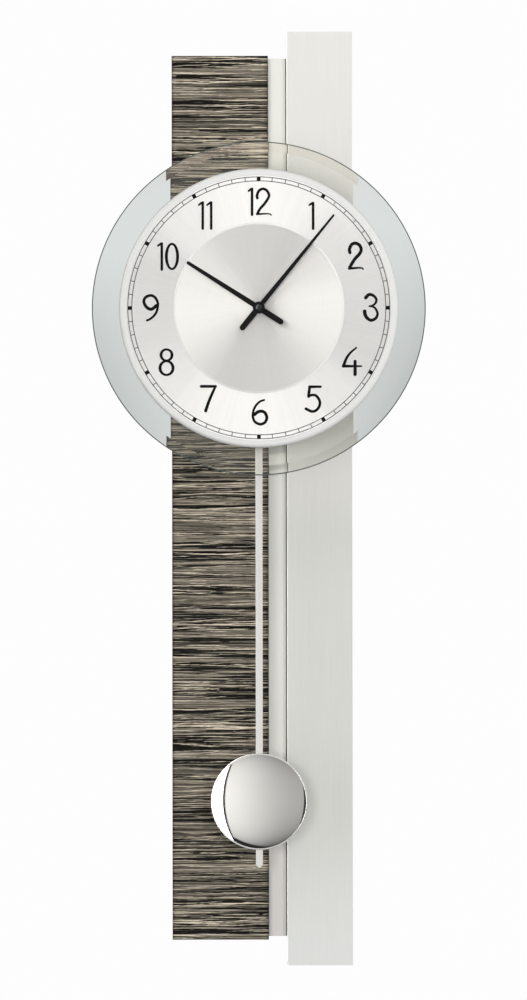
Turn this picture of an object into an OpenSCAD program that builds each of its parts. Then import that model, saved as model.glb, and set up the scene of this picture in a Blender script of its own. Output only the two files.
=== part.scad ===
// Pendulum wall clock with a round dial, a bevelled glass disc and two tall panels.
// Millimetres. +X right, +Z up, the front faces -Y. The origin is the centre of the
// keyhole in the hanger plate, on the plate's wall side.
// Depths are written as f, the distance forward of that plane, so y = -f.

/* [Panels] */
// Distance from the keyhole down to the axis of the hands
hang_drop = 150; // [145:1:155]
// Width of the aluminium panel
alu_w = 47; // [44:0.5:52]
// Left edge of the aluminium panel, right of the dial axis
alu_x = 19.9; // [18:0.1:22]
// Height of the aluminium panel above the dial axis
alu_top = 200.6; // [190:0.2:215]
// Depth of the aluminium panel below the dial axis
alu_bottom = 469.4; // [460:0.2:520]
// Left edge of the veneered panel, left of the dial axis
wood_x = 62.4; // [60:0.2:70]
// Right edge of the veneered panel, right of the dial axis
wood_r = 6.7; // [5:0.1:9]
// Height of the veneered panel above the dial axis
wood_top = 183.4; // [178:0.2:188]
// Depth of the veneered panel below the dial axis
wood_bottom = 450.9; // [445:0.2:458]
// Thickness of both panels
panel_t = 10; // [9:0.5:12]
// Thickness of the bent aluminium sheet
sheet_t = 1.2; // [0.8:0.1:1.5]
// Thickness of the wood veneer
veneer_t = 0.6; // [0.4:0.1:1]

/* [Back board] */
// Thickness of the back board
board_t = 16; // [14:1:18]
// Height of the back board above the dial axis
board_top = 182.2; // [175:0.2:186]
// Depth of the back board below the dial axis
board_bottom = 449.1; // [445:0.2:456]
// Thickness of the glossy strip between the panels
strip_t = 1.5; // [1:0.1:3]
// Gap between the strip and the aluminium panel
strip_gap = 0.6; // [0.3:0.1:1.2]
// Half width of the service window behind the movement
window_x = 36; // [34:0.5:36.5]
// Top of the service window above the dial axis
window_top = 45; // [35:1:60]
// Bottom of the service window below the dial axis
window_bottom = 68; // [64:1:90]

/* [Glass and dial] */
// Radius of the glass disc
glass_r = 118; // [112:0.5:124]
// Thickness of the glass disc
glass_t = 4; // [3:0.5:5]
// Width of the bevel round the glass
bevel_w = 6.9; // [4:0.1:9]
// Outer radius of the dial pan
pan_r = 98.5; // [94:0.5:104]
// Radius of the pan's rounded edge
pan_edge = 2.8; // [2:0.1:4]
// Sheet thickness of the dial pan
pan_t = 0.8; // [0.6:0.1:1.2]
// Radius of the flat of the centre disc
disc_r = 59; // [55:0.5:65]
// Width of the centre disc's sloped rim
disc_rim = 1.3; // [0.8:0.1:2]

/* [Hands] */
// Angle of the minute hand, clockwise from 12
minute_at = 39.1; // [0:0.1:360]
// Angle of the hour hand, clockwise from 12
hour_at = 302.5; // [0:0.1:360]
// Length of the minute hand from the axis
minute_len = 84.3; // [70:0.1:88]
// Length of the hour hand from the axis
hour_len = 60; // [45:0.1:70]
// Length of each hand's tail
tail_len = 20.2; // [12:0.1:26]
// Radius of the domed cap over the arbor
cap_w = 2.4; // [1.8:0.1:3.5]
// Radius of the hub of each hand
hub_r = 4.2; // [3.8:0.1:6]

/* [Pendulum] */
// Width of the pendulum rod
rod_w = 5; // [4.6:0.1:6]
// Thickness of the pendulum rod
rod_t = 1.5; // [1.2:0.1:1.6]
// Tip of the rod below the dial axis
rod_tip = 397; // [390:1:410]
// Centre of the bob below the dial axis
bob_z = 350; // [330:1:360]
// Radius of the bob
bob_r = 34.4; // [30:0.2:40]
// Height of the bob's front dome
bob_front_h = 9.6; // [8:0.1:12]
// Height of the bob's back dome
bob_back_h = 6.4; // [5:0.1:8]
// Wall of the pressed bob shells
bob_t = 0.8; // [0.6:0.1:1]

/* [Movement] */
// Half width of the movement case
case_x = 30; // [30:0.5:32]
// Top of the case above the axis of the hands
case_top = 30; // [30:0.5:34]
// Bottom of the case below the axis of the hands
case_bottom = 62; // [62:0.5:64]
// Wall of the movement case
case_t = 1.6; // [1.2:0.1:1.6]
// Tooth module of the cannon pinion and the minute wheel
motion_m1 = 0.5; // [0.5:0.01:0.5]

/* [Hidden] */
$fn = 96;
e = 0.01;

// Depths forward of the hanger plate's wall side
f_panel = board_t + panel_t;          // face of both panels
f_case0 = f_panel + 16;               // rear of the movement case
f_seam = f_case0 + 12;                // joint between the case halves
f_case1 = f_case0 + 24;               // front of the movement case
f_bracket = f_case1 + 1;              // rear of the bracket's front web
f_felt = f_bracket + 1.5;
f_glass = f_felt + 0.5;
f_glass1 = f_glass + glass_t;
f_pan = f_glass1 + 6;                 // rear of the pan's floor
f_face = f_pan + pan_t;               // dial face
f_disc = f_face + 0.8;                // face of the centre disc
f_hour = f_disc + 1.8;
f_minute = f_hour + 2.6;
f_rod = f_case0 + 7.6;                // rear of the pendulum rod
f_bob = f_rod + rod_t + 0.4;          // seam of the bob's halves, just in front of the rod
pivot_z = -37;                        // pendulum pivot
stub_z = -70;                         // stub that carries the rod

// Wheel train: places of the arbors seen from the front, [x, z]
gm = 0.3;                             // module of the going train
function polar(c, r, a) = [c[0] + r * cos(a), c[1] + r * sin(a)];
a_ct = 150; a_tf = 58; a_fi = 20; a_ir = -20; a_cm = -20;
arb_c = [0, 0];
arb_t = polar(arb_c, (64 + 8) * gm / 2, a_ct);
arb_f = polar(arb_t, (60 + 8) * gm / 2, a_tf);
arb_i = polar(arb_f, (48 + 8) * gm / 2, a_fi);
arb_r = polar(arb_i, (40 + 8) * gm / 2, a_ir);
arb_m = polar(arb_c, 12, a_cm);
motion_m2 = 24 / 50;                  // module of the minute pinion and hour wheel

// Angle that puts a wheel of nb teeth in mesh with one of na teeth, whose tooth
// points at pa, when the line from a to b points at a
function mesh_at(a, na, pa, nb) =
    let (d = (a - pa) - floor((a - pa) * na / 360) * 360 / na)
    a + 180 + d * na / nb + 180 / nb;

// Phases of the wheels, from the hands' axis outwards
p_third_pinion = mesh_at(a_ct, 64, 0, 8);
p_third = 0;
p_fourth_pinion = mesh_at(a_tf, 60, p_third, 8);
p_fourth = 0;
p_inter_pinion = mesh_at(a_fi, 48, p_fourth, 8);
p_inter = 0;
p_rotor_pinion = mesh_at(a_ir, 40, p_inter, 8);
p_cannon = 0;
p_minute = mesh_at(a_cm, 12, p_cannon, 36);
p_hour = 0;
p_minute_pinion = mesh_at(a_cm, 40, p_hour, 10);

// Places the dial axis below the keyhole
module dial_frame() translate([0, 0, -hang_drop]) children();

// Round bar along the depth, from f0 forward to f1
module bar(r, f0, f1, p = [0, 0])
    translate([p[0], -f0, p[1]]) rotate([90, 0, 0]) cylinder(r = r, h = f1 - f0);

// Cone along the depth, radius ra at f0 and rb at f1
module taper(ra, rb, f0, f1, p = [0, 0])
    translate([p[0], -f0, p[1]]) rotate([90, 0, 0]) cylinder(r1 = ra, r2 = rb, h = f1 - f0);

// Flat outline drawn in x and z, from f0 forward to f1
module slab(f0, f1)
    translate([0, -f0, 0]) rotate([90, 0, 0]) linear_extrude(height = f1 - f0) children();

// Profile drawn as radius and depth f, turned about an axis at p
module turned(p = [0, 0])
    translate([p[0], 0, p[1]]) rotate([90, 0, 0]) rotate_extrude() children();

// Block from corner to corner, given as x, z and f
module block(x0, x1, z0, z1, f0, f1)
    translate([x0, -f1, z0]) cube([x1 - x0, f1 - f0, z1 - z0]);

// Rectangle with round corners, from corner to corner
module soft_rect(x0, x1, z0, z1, r) {
    translate([x0 + r, z0]) square([x1 - x0 - 2 * r, z1 - z0]);
    translate([x0, z0 + r]) square([x1 - x0, z1 - z0 - 2 * r]);
    for (x = [x0 + r, x1 - r], z = [z0 + r, z1 - r]) translate([x, z]) circle(r);
}

// Toothed outline with one tooth at angle ph
module teeth(n, m, ph) {
    p = 360 / n;
    rf = n * m / 2 - 1.15 * m;
    ra = n * m / 2 + 0.8 * m;
    hr = 0.27 * p;
    ht = 0.09 * p;
    polygon([for (i = [0:n - 1], q = [[rf, -hr], [ra, -ht], [ra, ht], [rf, hr]])
        [q[0] * cos(ph + i * p + q[1]), q[0] * sin(ph + i * p + q[1])]]);
}

module wheel(n, m, ph, f0, f1, p)
    translate([p[0], 0, p[1]]) slab(f0, f1) teeth(n, m, ph);

// Wheel with four lightening holes round its hub
module spoked(n, m, ph, f0, f1, p, hole_r, hole_at)
    difference() {
        wheel(n, m, ph, f0, f1, p);
        for (i = [0:3]) bar(hole_r, f0 - 1, f1 + 1, polar(p, hole_at, 45 + 90 * i));
    }

// ---------- Panels and back board ----------

// Places of fasteners, [x, z]
panel_screw_at = [for (x = [-36, 42], z = [125, -130, -290, -432]) [x, z]];
bracket_screw_at = [for (x = [-47, 47], z = [-15, 15]) [x, z]];
bumper_at = [for (x = [-38, 42], z = [172, -438]) [x, z]];
plate_x = 30;
plate_z0 = hang_drop - 16;
plate_z1 = hang_drop + 24;
hanger_screw_at = [[-22, hang_drop + 4], [22, hang_drop + 4]];

module back_board()
    color([0.12, 0.12, 0.12]) dial_frame() difference() {
        slab(0, board_t) soft_rect(-46, 50, -board_bottom, board_top, 2);
        block(-window_x, window_x, -window_bottom, window_top, -1, board_t + 1);
        slab(-1, 1.5) soft_rect(-plate_x, plate_x, plate_z0, plate_z1, 3);
        slab(1, 11) soft_rect(-7, 7, hang_drop - 7, hang_drop + 19, 6.9);
        for (p = panel_screw_at) {
            bar(2, -1, board_t + 1, p);
            taper(3.9, 2, -0.1, 1.8, p);
        }
        for (p = hanger_screw_at) bar(1.6, 0, 12.2, p);
    }

// Glossy strip that shows between the two panels, cut away at the window
module silver_strip()
    color([0.86, 0.86, 0.85]) dial_frame() difference() {
        block(wood_r, alu_x - strip_gap, -board_bottom, board_top, board_t, board_t + strip_t);
        block(-window_x, window_x, -window_bottom, window_top, board_t - 1, f_panel + 1);
    }

module panel_holes(top)
    {
        for (p = panel_screw_at) bar(1.95, board_t - 1, f_panel - 2, p);
        for (p = bracket_screw_at) bar(1.95, board_t + 1, top, p);
    }

module wood_panel_core()
    color([0.24, 0.19, 0.15]) dial_frame() difference() {
        block(-wood_x, wood_r, -wood_bottom, wood_top, board_t, f_panel - veneer_t);
        block(-window_x, wood_r + 1, -window_bottom, window_top, board_t - 1, f_panel + 1);
        panel_holes(f_panel + 1);
    }

module wood_veneer()
    color([0.42, 0.37, 0.30]) dial_frame() difference() {
        block(-wood_x, wood_r, -wood_bottom, wood_top, f_panel - veneer_t, f_panel);
        block(-window_x, wood_r + 1, -window_bottom, window_top, board_t - 1, f_panel + 1);
        for (p = bracket_screw_at) bar(1.95, board_t + 1, f_panel + 1, p);
    }

module aluminium_panel_core()
    color([0.45, 0.40, 0.34]) dial_frame() difference() {
        block(alu_x + sheet_t, alu_x + alu_w - sheet_t, -alu_bottom, alu_top, board_t, f_panel - sheet_t);
        block(alu_x - 1, window_x, -window_bottom, window_top, board_t - 1, f_panel + 1);
        panel_holes(f_panel + 1);
    }

// Front face bent back along both long edges
module aluminium_sheet()
    color([0.80, 0.81, 0.81]) dial_frame() difference() {
        translate([0, 0, -alu_bottom]) linear_extrude(height = alu_top + alu_bottom) difference() {
            union() {
                translate([alu_x, -f_panel + 1]) square([alu_w, panel_t - 1]);
                translate([alu_x + 1, -f_panel]) square([alu_w - 2, 2]);
                for (x = [alu_x + 1, alu_x + alu_w - 1]) translate([x, -f_panel + 1]) circle(1);
            }
            translate([alu_x + sheet_t, -f_panel + sheet_t]) square([alu_w - 2 * sheet_t, panel_t]);
        }
        block(alu_x - 1, window_x, -window_bottom, window_top, board_t - 1, f_panel + 1);
        for (p = bracket_screw_at) bar(1.95, board_t + 1, f_panel + 1, p);
    }

// Countersunk screw driven forward from f0
module csk_screw(p, f0, len, r, head)
    difference() {
        union() {
            bar(r, f0, f0 + len - 1.5, p);
            taper(r, 0.3, f0 + len - 1.5, f0 + len, p);
            taper(head, r, f0, f0 + head - r, p);
        }
        for (a = [0, 90]) translate([p[0], -f0, p[1]]) rotate([0, a, 0]) cube([head, 1.6, 0.7], center = true);
    }

module panel_screws()
    color([0.7, 0.66, 0.5]) dial_frame()
        for (p = panel_screw_at) csk_screw(p, 0.05, board_t + 7, 1.9, 3.7);

module hanger_plate()
    color([0.72, 0.72, 0.7]) dial_frame() difference() {
        slab(0, 1.5) soft_rect(-plate_x + 0.1, plate_x - 0.1, plate_z0 + 0.1, plate_z1 - 0.1, 2.9);
        bar(4.5, -1, 3, [0, hang_drop]);
        slab(-1, 3) {
            translate([-2.2, hang_drop]) square([4.4, 12]);
            translate([0, hang_drop + 12]) circle(2.2);
        }
        for (p = hanger_screw_at) { bar(1.65, -1, 3, p); taper(3.1, 1.6, -0.05, 1.5, p); }
    }

module hanger_screws()
    color([0.7, 0.66, 0.5]) dial_frame()
        for (p = hanger_screw_at) csk_screw(p, 0.1, 12, 1.55, 2.8);

module wall_bumpers()
    color([0.08, 0.08, 0.08]) dial_frame()
        for (p = bumper_at) taper(5, 6, -3, 0, p);

// ---------- Bracket that carries the movement, the glass and the dial ----------

module movement_bracket()
    color([0.75, 0.76, 0.77]) dial_frame() difference() {
        // bent strip: feet on the panels, legs forward, web across the front
        translate([0, 0, -25]) linear_extrude(height = 50) difference() {
            union() {
                translate([-54, -f_panel - 1.5]) square([108, 1.5]);
                translate([-39.5, -f_bracket - 1.5 + 3]) square([79, f_bracket + 1.5 - 3 - f_panel]);
                translate([-36.5, -f_bracket - 1.5]) square([73, 4]);
                for (x = [-36.5, 36.5]) translate([x, -f_bracket + 1.5]) circle(3);
            }
            translate([-38, -f_bracket + 1.5]) square([76, f_bracket - f_panel]);
            translate([-36.5, -f_bracket]) square([73, 4]);
            for (x = [-36.5, 36.5]) translate([x, -f_bracket + 1.5]) circle(1.5);
        }
        bar(4.2, f_bracket - 2, f_bracket + 3);
        for (p = bracket_screw_at) bar(2.1, f_panel - 1, f_panel + 3, p);
    }

module bracket_screws()
    color([0.7, 0.7, 0.72]) dial_frame()
        for (p = bracket_screw_at) difference() {
            union() {
                bar(1.9, board_t + 1.5, f_panel + 1.5, p);
                bar(3.6, f_panel + 1.5, f_panel + 2.8, p);
                taper(3.6, 2.4, f_panel + 2.8, f_panel + 3.8, p);
            }
            for (a = [0, 90]) translate([p[0], -f_panel - 3.8, p[1]]) rotate([0, a, 0]) cube([3.6, 2, 0.8], center = true);
        }

module rubber_gasket()
    color([0.1, 0.1, 0.1]) dial_frame() difference() {
        bar(14, f_case1, f_bracket);
        bar(4.3, f_case1 - 1, f_bracket + 1);
    }

module felt_washer()
    color([0.15, 0.15, 0.15]) dial_frame() difference() {
        bar(22, f_felt, f_glass);
        bar(4.4, f_felt - 1, f_glass + 1);
    }

module glass_disc()
    color([0.80, 0.88, 0.87, 0.35]) dial_frame() turned() polygon([
        [4.4, f_glass], [glass_r - 0.4, f_glass], [glass_r, f_glass + 0.4],
        [glass_r, f_glass1 - 1.7], [glass_r - bevel_w, f_glass1], [4.4, f_glass1]]);

module centre_washer()
    color([0.75, 0.75, 0.75]) dial_frame() difference() {
        bar(9, f_glass1, f_glass1 + 0.6);
        bar(4.15, f_glass1 - 1, f_glass1 + 2);
    }

module centre_nut()
    color([0.80, 0.67, 0.35]) dial_frame() difference() {
        translate([0, -f_glass1 - 0.6, 0]) rotate([90, 0, 0]) cylinder(r = 6.6, h = 3, $fn = 6);
        bar(4.05, f_glass1 - 1, f_glass1 + 5);
    }

// Foam ring between the glass and the pan
module dial_spacer()
    color([0.9, 0.9, 0.88]) dial_frame() difference() {
        bar(34, f_glass1, f_pan);
        bar(12, f_glass1 - 1, f_pan + 1);
    }

module dial_pan()
    color([0.93, 0.93, 0.92]) dial_frame() turned() {
        translate([3.6, f_pan]) square([pan_r - pan_edge - 3.6, pan_t]);
        translate([pan_r - pan_t, f_glass1 + 0.3]) square([pan_t, f_face - pan_edge - f_glass1 - 0.3]);
        intersection() {
            translate([pan_r - pan_edge, f_face - pan_edge]) difference() {
                circle(pan_edge);
                circle(pan_edge - pan_t);
            }
            translate([pan_r - pan_edge, f_face - pan_edge]) square(pan_edge + 1);
        }
    }

module centre_disc()
    color([0.86, 0.86, 0.86]) dial_frame() turned() polygon([
        [3.6, f_face], [disc_r + disc_rim, f_face], [disc_r + disc_rim, f_face + 0.1],
        [disc_r, f_disc], [3.6, f_disc]]);

// ---------- Movement case ----------

plate_posts = [[-24, 23], [24, 25.5], [-24, -9], [24, -9.5]];

module case_outline(d)
    soft_rect(-case_x + d, case_x - d, -case_bottom + d, case_top - d, 4 - d);

module movement_front_case()
    color([0.14, 0.14, 0.15]) dial_frame() difference() {
        union() {
            difference() {
                slab(f_seam, f_case1) case_outline(0);
                slab(f_seam - 1, f_case1 - case_t) case_outline(case_t);
            }
            bar(4, f_case1 - 1, f_glass1 + 5.5);
            for (p = plate_posts) bar(1.6, f_case0 + 17.6, f_case1 - 1, p);
            bar(3, f_case0 + 9.8, f_case1 - 1, [0, pivot_z]);
            bar(4, f_case0 + 16.5, f_case1 - 1, [0, -51]);
            bar(2, f_case0 + 22.3, f_case1 - 1, arb_m);
        }
        bar(3.06, f_case0, f_glass1 + 7);
        bar(1, f_case0 + 9, f_case1 - 3, [0, pivot_z]);
        bar(0.65, f_case0 + 20, f_case1 - 0.8, arb_m);
    }

module movement_rear_case()
    color([0.16, 0.16, 0.17]) dial_frame() difference() {
        union() {
            difference() {
                slab(f_case0, f_seam) case_outline(0);
                slab(f_case0 + case_t, f_seam + 1) case_outline(case_t);
            }
            // trough of the battery bay
            block(-27.6, 27.6, -30.6, -12.6, f_case0 + 0.5, f_case0 + 16.6);
            for (p = [arb_t, arb_f, arb_i, arb_r]) bar(1.4, f_case0 + 1, f_case0 + 3, p);
            bar(2.2, f_case0 + 1, f_case0 + 3, arb_m);
            bar(3, f_case0 + 1, f_case0 + 4.6, [0, pivot_z]);
        }
        block(-26.1, 26.1, -29.1, -14.1, f_case0 - 1, f_case0 + 15.2);
        for (p = [arb_t, arb_f, arb_i, arb_r]) bar(0.45, f_case0 + 0.8, f_case0 + 4, p);
        bar(1.25, f_case0 - 1, f_case0 + 4, arb_m);
        bar(1, f_case0 + 1.5, f_case0 + 6, [0, pivot_z]);
        // slot for the pendulum lever
        block(-9, 9, -case_bottom - 1, -case_bottom + 3, f_case0 + 3.2, f_case0 + 11);
    }

module train_plate()
    color([0.85, 0.84, 0.80]) dial_frame() difference() {
        slab(f_case0 + 16.8, f_case0 + 17.6) soft_rect(-26.5, 26.5, -12, 28, 2);
        for (p = [arb_t, arb_f, arb_i, arb_r]) bar(0.45, f_case0, f_case1, p);
        bar(0.95, f_case0, f_case1, arb_c);
        bar(1.25, f_case0, f_case1, arb_m);
    }

module stator()
    color([0.55, 0.55, 0.56]) dial_frame() difference() {
        slab(f_case0 + 5.4, f_case0 + 6.6) {
            translate([5.8, 2.6]) square([21.2, 22.4]);
        }
        block(18.8, 28, 4.8, 22.8, f_case0 + 5, f_case0 + 7);
        block(5, 14.6, 1, 8.6, f_case0 + 5, f_case0 + 7);
        bar(3.5, f_case0 + 5, f_case0 + 7, arb_r);
    }

module coil_core()
    color([0.55, 0.55, 0.56]) dial_frame()
        block(22.3, 24.7, 4.8, 22.8, f_case0 + 5.4, f_case0 + 6.6);

// Copper winding on a flanged bobbin
module stepper_coil()
    color([0.72, 0.42, 0.22]) dial_frame() difference() {
        translate([23.5, -f_case0 - 6, 0]) {
            translate([0, 0, 6]) cylinder(r = 3.4, h = 15.6);
            translate([0, 0, 5]) cylinder(r = 4.2, h = 1);
            translate([0, 0, 21.6]) cylinder(r = 4.2, h = 1);
        }
        block(22.2, 24.8, 0, 30, f_case0 + 5.3, f_case0 + 6.7);
    }

module circuit_board()
    color([0.15, 0.35, 0.20]) dial_frame() difference() {
        block(-27, -13, -11, 26, f_case0 + 3, f_case0 + 4.2);
        bar(1.2, f_case0, f_case0 + 6, [-24, 23]);
    }

module quartz_crystal()
    color([0.8, 0.8, 0.82]) dial_frame() {
        translate([-20, -f_case0 - 5.25, 6]) cylinder(r = 1, h = 7);
        for (x = [-20.4, -19.6]) translate([x, -f_case0 - 5.25, 2.5]) cylinder(r = 0.15, h = 3.5);
    }

// Round cell lying across the case
module battery()
    color([0.25, 0.28, 0.32]) dial_frame() translate([0, -f_case0 - 8, -21.6]) rotate([0, 90, 0]) {
        translate([0, 0, -24.5]) cylinder(r = 7.1, h = 49);
        translate([0, 0, 24]) cylinder(r = 2.7, h = 1.6);
    }

module battery_contact_pos()
    color([0.8, 0.8, 0.78]) dial_frame() {
        block(25.65, 26.05, -26, -17, f_case0 + 2, f_case0 + 14);
    }

// Spring contact: a leaf with a pressed dome
module battery_contact_neg()
    color([0.8, 0.8, 0.78]) dial_frame() {
        block(-26.05, -25.65, -26, -17, f_case0 + 2, f_case0 + 14);
        translate([-25.7, -f_case0 - 8, -21.6]) rotate([0, 90, 0]) cylinder(r1 = 4, r2 = 2, h = 1.15);
    }

module pendulum_coil()
    color([0.72, 0.42, 0.22]) dial_frame() difference() {
        union() {
            bar(5.8, f_case0 + 11.4, f_case0 + 16, [0, -51]);
            bar(6.6, f_case0 + 11, f_case0 + 11.5, [0, -51]);
            bar(6.6, f_case0 + 16, f_case0 + 16.5, [0, -51]);
        }
        bar(1.6, f_case0 + 10, f_case0 + 17, [0, -51]);
    }

module lever_pin()
    color([0.8, 0.8, 0.8]) dial_frame() bar(0.98, f_case0 + 1.8, f_case1 - 3.2, [0, pivot_z]);

// ---------- Hands and motion work ----------

module minute_arbor()
    color([0.80, 0.70, 0.42]) dial_frame() {
        bar(0.9, f_case0 + 14.6, f_case0 + 18, arb_c);
        wheel(12, motion_m1, p_cannon, f_case0 + 17.9, f_case0 + 19.4, arb_c);
        bar(1.8, f_case0 + 19.3, f_minute - 0.1);
        bar(1.5, f_minute - 0.2, f_minute + 0.6);
    }

// Spring washer of the friction clutch
module clutch_spring()
    color([0.75, 0.75, 0.75]) dial_frame() difference() {
        bar(2.2, f_case0 + 14.7, f_case0 + 15.2);
        bar(0.92, f_case0 + 14, f_case0 + 16);
    }

// Straight tapered hand with a round-ended tail, pointing at 12
module hand_outline(len, w0, w1, tail, wt, we) {
    polygon(concat(
        [[w0 / 2, 0], [w1 / 2, len - 1], [w1 * 0.2, len], [-w1 * 0.2, len],
            [-w1 / 2, len - 1], [-w0 / 2, 0], [-wt / 2, -1]],
        [for (a = [180:12:360]) [we / 2 * cos(a), we / 2 - tail + we / 2 * sin(a)]],
        [[wt / 2, -1]]));
    circle(hub_r);
}

module minute_hand()
    color([0.03, 0.03, 0.03]) dial_frame() difference() {
        slab(f_minute, f_minute + 0.6) rotate(-minute_at)
            hand_outline(minute_len, 3.55, 1.6, tail_len - 0.1, 4.1, 4.1);
        bar(1.52, f_minute - 1, f_minute + 2);
    }

module hand_cap()
    color([0.03, 0.03, 0.03]) dial_frame() turned() intersection() {
        translate([0, f_minute + 0.6]) square([cap_w, 2.5]);
        translate([0, f_minute + 0.2]) circle(cap_w + 0.03);
    }

module hour_wheel()
    color([0.92, 0.92, 0.88]) dial_frame() difference() {
        union() {
            spoked(40, motion_m2, p_hour, f_case0 + 20.5, f_case0 + 22, arb_c, 1.9, 6);
            bar(3, f_case0 + 20.5, f_hour + 0.6);
        }
        bar(1.86, f_case0 + 20, f_hour + 2);
    }

module hour_hand()
    color([0.03, 0.03, 0.03]) dial_frame() difference() {
        slab(f_hour, f_hour + 0.6) rotate(-hour_at)
            hand_outline(hour_len, 3.85, 2.35, tail_len, 4.15, 4);
        bar(3.02, f_hour - 1, f_hour + 2);
    }

module minute_wheel()
    color([0.92, 0.92, 0.88]) dial_frame() {
        bar(0.6, f_case0 + 22, f_case0 + 22.9, arb_m);
        wheel(10, motion_m2, p_minute_pinion, f_case0 + 19, f_case0 + 22.1, arb_m);
        spoked(36, motion_m1, p_minute, f_case0 + 18, f_case0 + 19.2, arb_m, 1.9, 5.6);
        bar(1.2, f_case0 - 3, f_case0 + 18.1, arb_m);
    }

// Ribbed knob that sets the hands from the back
module set_knob()
    color([0.12, 0.12, 0.12]) dial_frame() difference() {
        union() {
            bar(6.6, f_case0 - 6, f_case0 - 0.5, arb_m);
            for (i = [0:17]) bar(0.6, f_case0 - 6, f_case0 - 1.5, polar(arb_m, 6.6, 20 * i));
        }
        bar(1.22, f_case0 - 4, f_case0, arb_m);
    }

// ---------- Going train ----------

module centre_wheel()
    color([0.92, 0.92, 0.88]) dial_frame() difference() {
        spoked(64, gm, 0, f_case0 + 15.3, f_case0 + 16.4, arb_c, 2, 5.6);
        bar(0.95, f_case0 + 14, f_case0 + 18);
    }

// Arbor with pivots at both ends
module arbor(p)
    {
        bar(0.6, f_case0 + 3.2, f_case0 + 16.6, p);
        bar(0.4, f_case0 + 1.4, f_case0 + 17.4, p);
    }

module third_wheel()
    color([0.92, 0.92, 0.88]) dial_frame() {
        arbor(arb_t);
        wheel(8, gm, p_third_pinion, f_case0 + 13.9, f_case0 + 16.5, arb_t);
        spoked(60, gm, p_third, f_case0 + 13, f_case0 + 14, arb_t, 1.8, 5.4);
    }

module fourth_wheel()
    color([0.92, 0.92, 0.88]) dial_frame() {
        arbor(arb_f);
        wheel(8, gm, p_fourth_pinion, f_case0 + 11.6, f_case0 + 14.2, arb_f);
        spoked(48, gm, p_fourth, f_case0 + 10.7, f_case0 + 11.7, arb_f, 1.4, 4.4);
    }

module intermediate_wheel()
    color([0.92, 0.92, 0.88]) dial_frame() {
        arbor(arb_i);
        wheel(8, gm, p_inter_pinion, f_case0 + 9.4, f_case0 + 12, arb_i);
        spoked(40, gm, p_inter, f_case0 + 8.5, f_case0 + 9.5, arb_i, 1.1, 3.6);
    }

module rotor()
    color([0.92, 0.92, 0.88]) dial_frame() {
        bar(0.4, f_case0 + 1.4, f_case0 + 17.4, arb_r);
        bar(0.6, f_case0 + 3.2, f_case0 + 16.6, arb_r);
        wheel(8, gm, p_rotor_pinion, f_case0 + 8, f_case0 + 9.8, arb_r);
    }

module rotor_magnet()
    color([0.25, 0.25, 0.27]) dial_frame() difference() {
        bar(3, f_case0 + 4.2, f_case0 + 7.6, arb_r);
        bar(0.61, f_case0 + 4, f_case0 + 8, arb_r);
    }

// ---------- Pendulum ----------

module pendulum_lever()
    color([0.88, 0.88, 0.85]) dial_frame() difference() {
        union() {
            bar(3, f_case0 + 4.9, f_case0 + 9.4, [0, pivot_z]);
            slab(f_case0 + 5.4, f_case0 + 7.4) {
                translate([-3.5, stub_z]) square([7, pivot_z - stub_z]);
                translate([0, stub_z]) circle(3.5);
                translate([0, -51]) circle(5);
            }
            bar(1.3, f_case0 + 7, f_rod + rod_t + 0.4, [0, stub_z]);
            bar(2.1, f_rod + rod_t + 0.2, f_rod + rod_t + 0.9, [0, stub_z]);
        }
        bar(1.04, f_case0, f_case1, [0, pivot_z]);
    }

module lever_magnet()
    color([0.45, 0.45, 0.47]) dial_frame() bar(4.6, f_case0 + 7.4, f_case0 + 10, [0, -51]);

module pendulum_rod()
    color([0.80, 0.80, 0.80]) dial_frame() difference() {
        slab(f_rod, f_rod + rod_t) polygon(concat(
            [for (a = [0:10:180]) [rod_w / 2 * cos(a), stub_z + 0.5 + rod_w / 2 * sin(a)]],
            [[-rod_w / 2, -rod_tip + 2.2], [-rod_w * 0.2, -rod_tip],
                [rod_w * 0.2, -rod_tip], [rod_w / 2, -rod_tip + 2.2]]));
        bar(1.4, f_rod - 1, f_rod + rod_t + 1, [0, stub_z]);
    }

// Radius of the sphere whose cap is h high over the bob's edge
function cap_r(h) = (bob_r * bob_r + h * h) / (2 * h);

// Pressed dome, h high, forward of the bob's seam
module dome(h)
    turned([0, -bob_z]) difference() {
        intersection() {
            translate([0, f_bob + h - cap_r(h)]) circle(cap_r(h), $fn = 360);
            translate([0, f_bob]) square([bob_r + 1, h + 1]);
        }
        translate([0, f_bob + h - cap_r(h)]) circle(cap_r(h) - bob_t, $fn = 360);
    }

// Gap for the rod through the back dome and the clip
module rod_gap(c)
    block(-rod_w / 2 - c, rod_w / 2 + c, -bob_z - bob_r - 5, -bob_z + bob_r + 5,
        f_rod - c, f_rod + rod_t + c);

module bob_front()
    color([0.85, 0.85, 0.86]) dial_frame() dome(bob_front_h);

module bob_back()
    color([0.80, 0.80, 0.81]) dial_frame() difference() {
        translate([0, -2 * f_bob, 0]) mirror([0, 1, 0]) dome(bob_back_h);
        block(-rod_w / 2 - 0.4, rod_w / 2 + 0.4, -bob_z - bob_r - 5, -bob_z + bob_r + 5,
            f_rod - 0.4, f_bob + 1);
    }

// Block that grips the rod inside the bob
module bob_clip()
    color([0.2, 0.2, 0.2]) dial_frame() difference() {
        translate([0, 0, -bob_z]) union() {
            slab(f_bob - 4.5, f_bob + 4) soft_rect(-9, 9, -11, 11, 2);
            bar(5, f_bob - 5.4, f_bob - 4);
        }
        rod_gap(0.05);
    }

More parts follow.
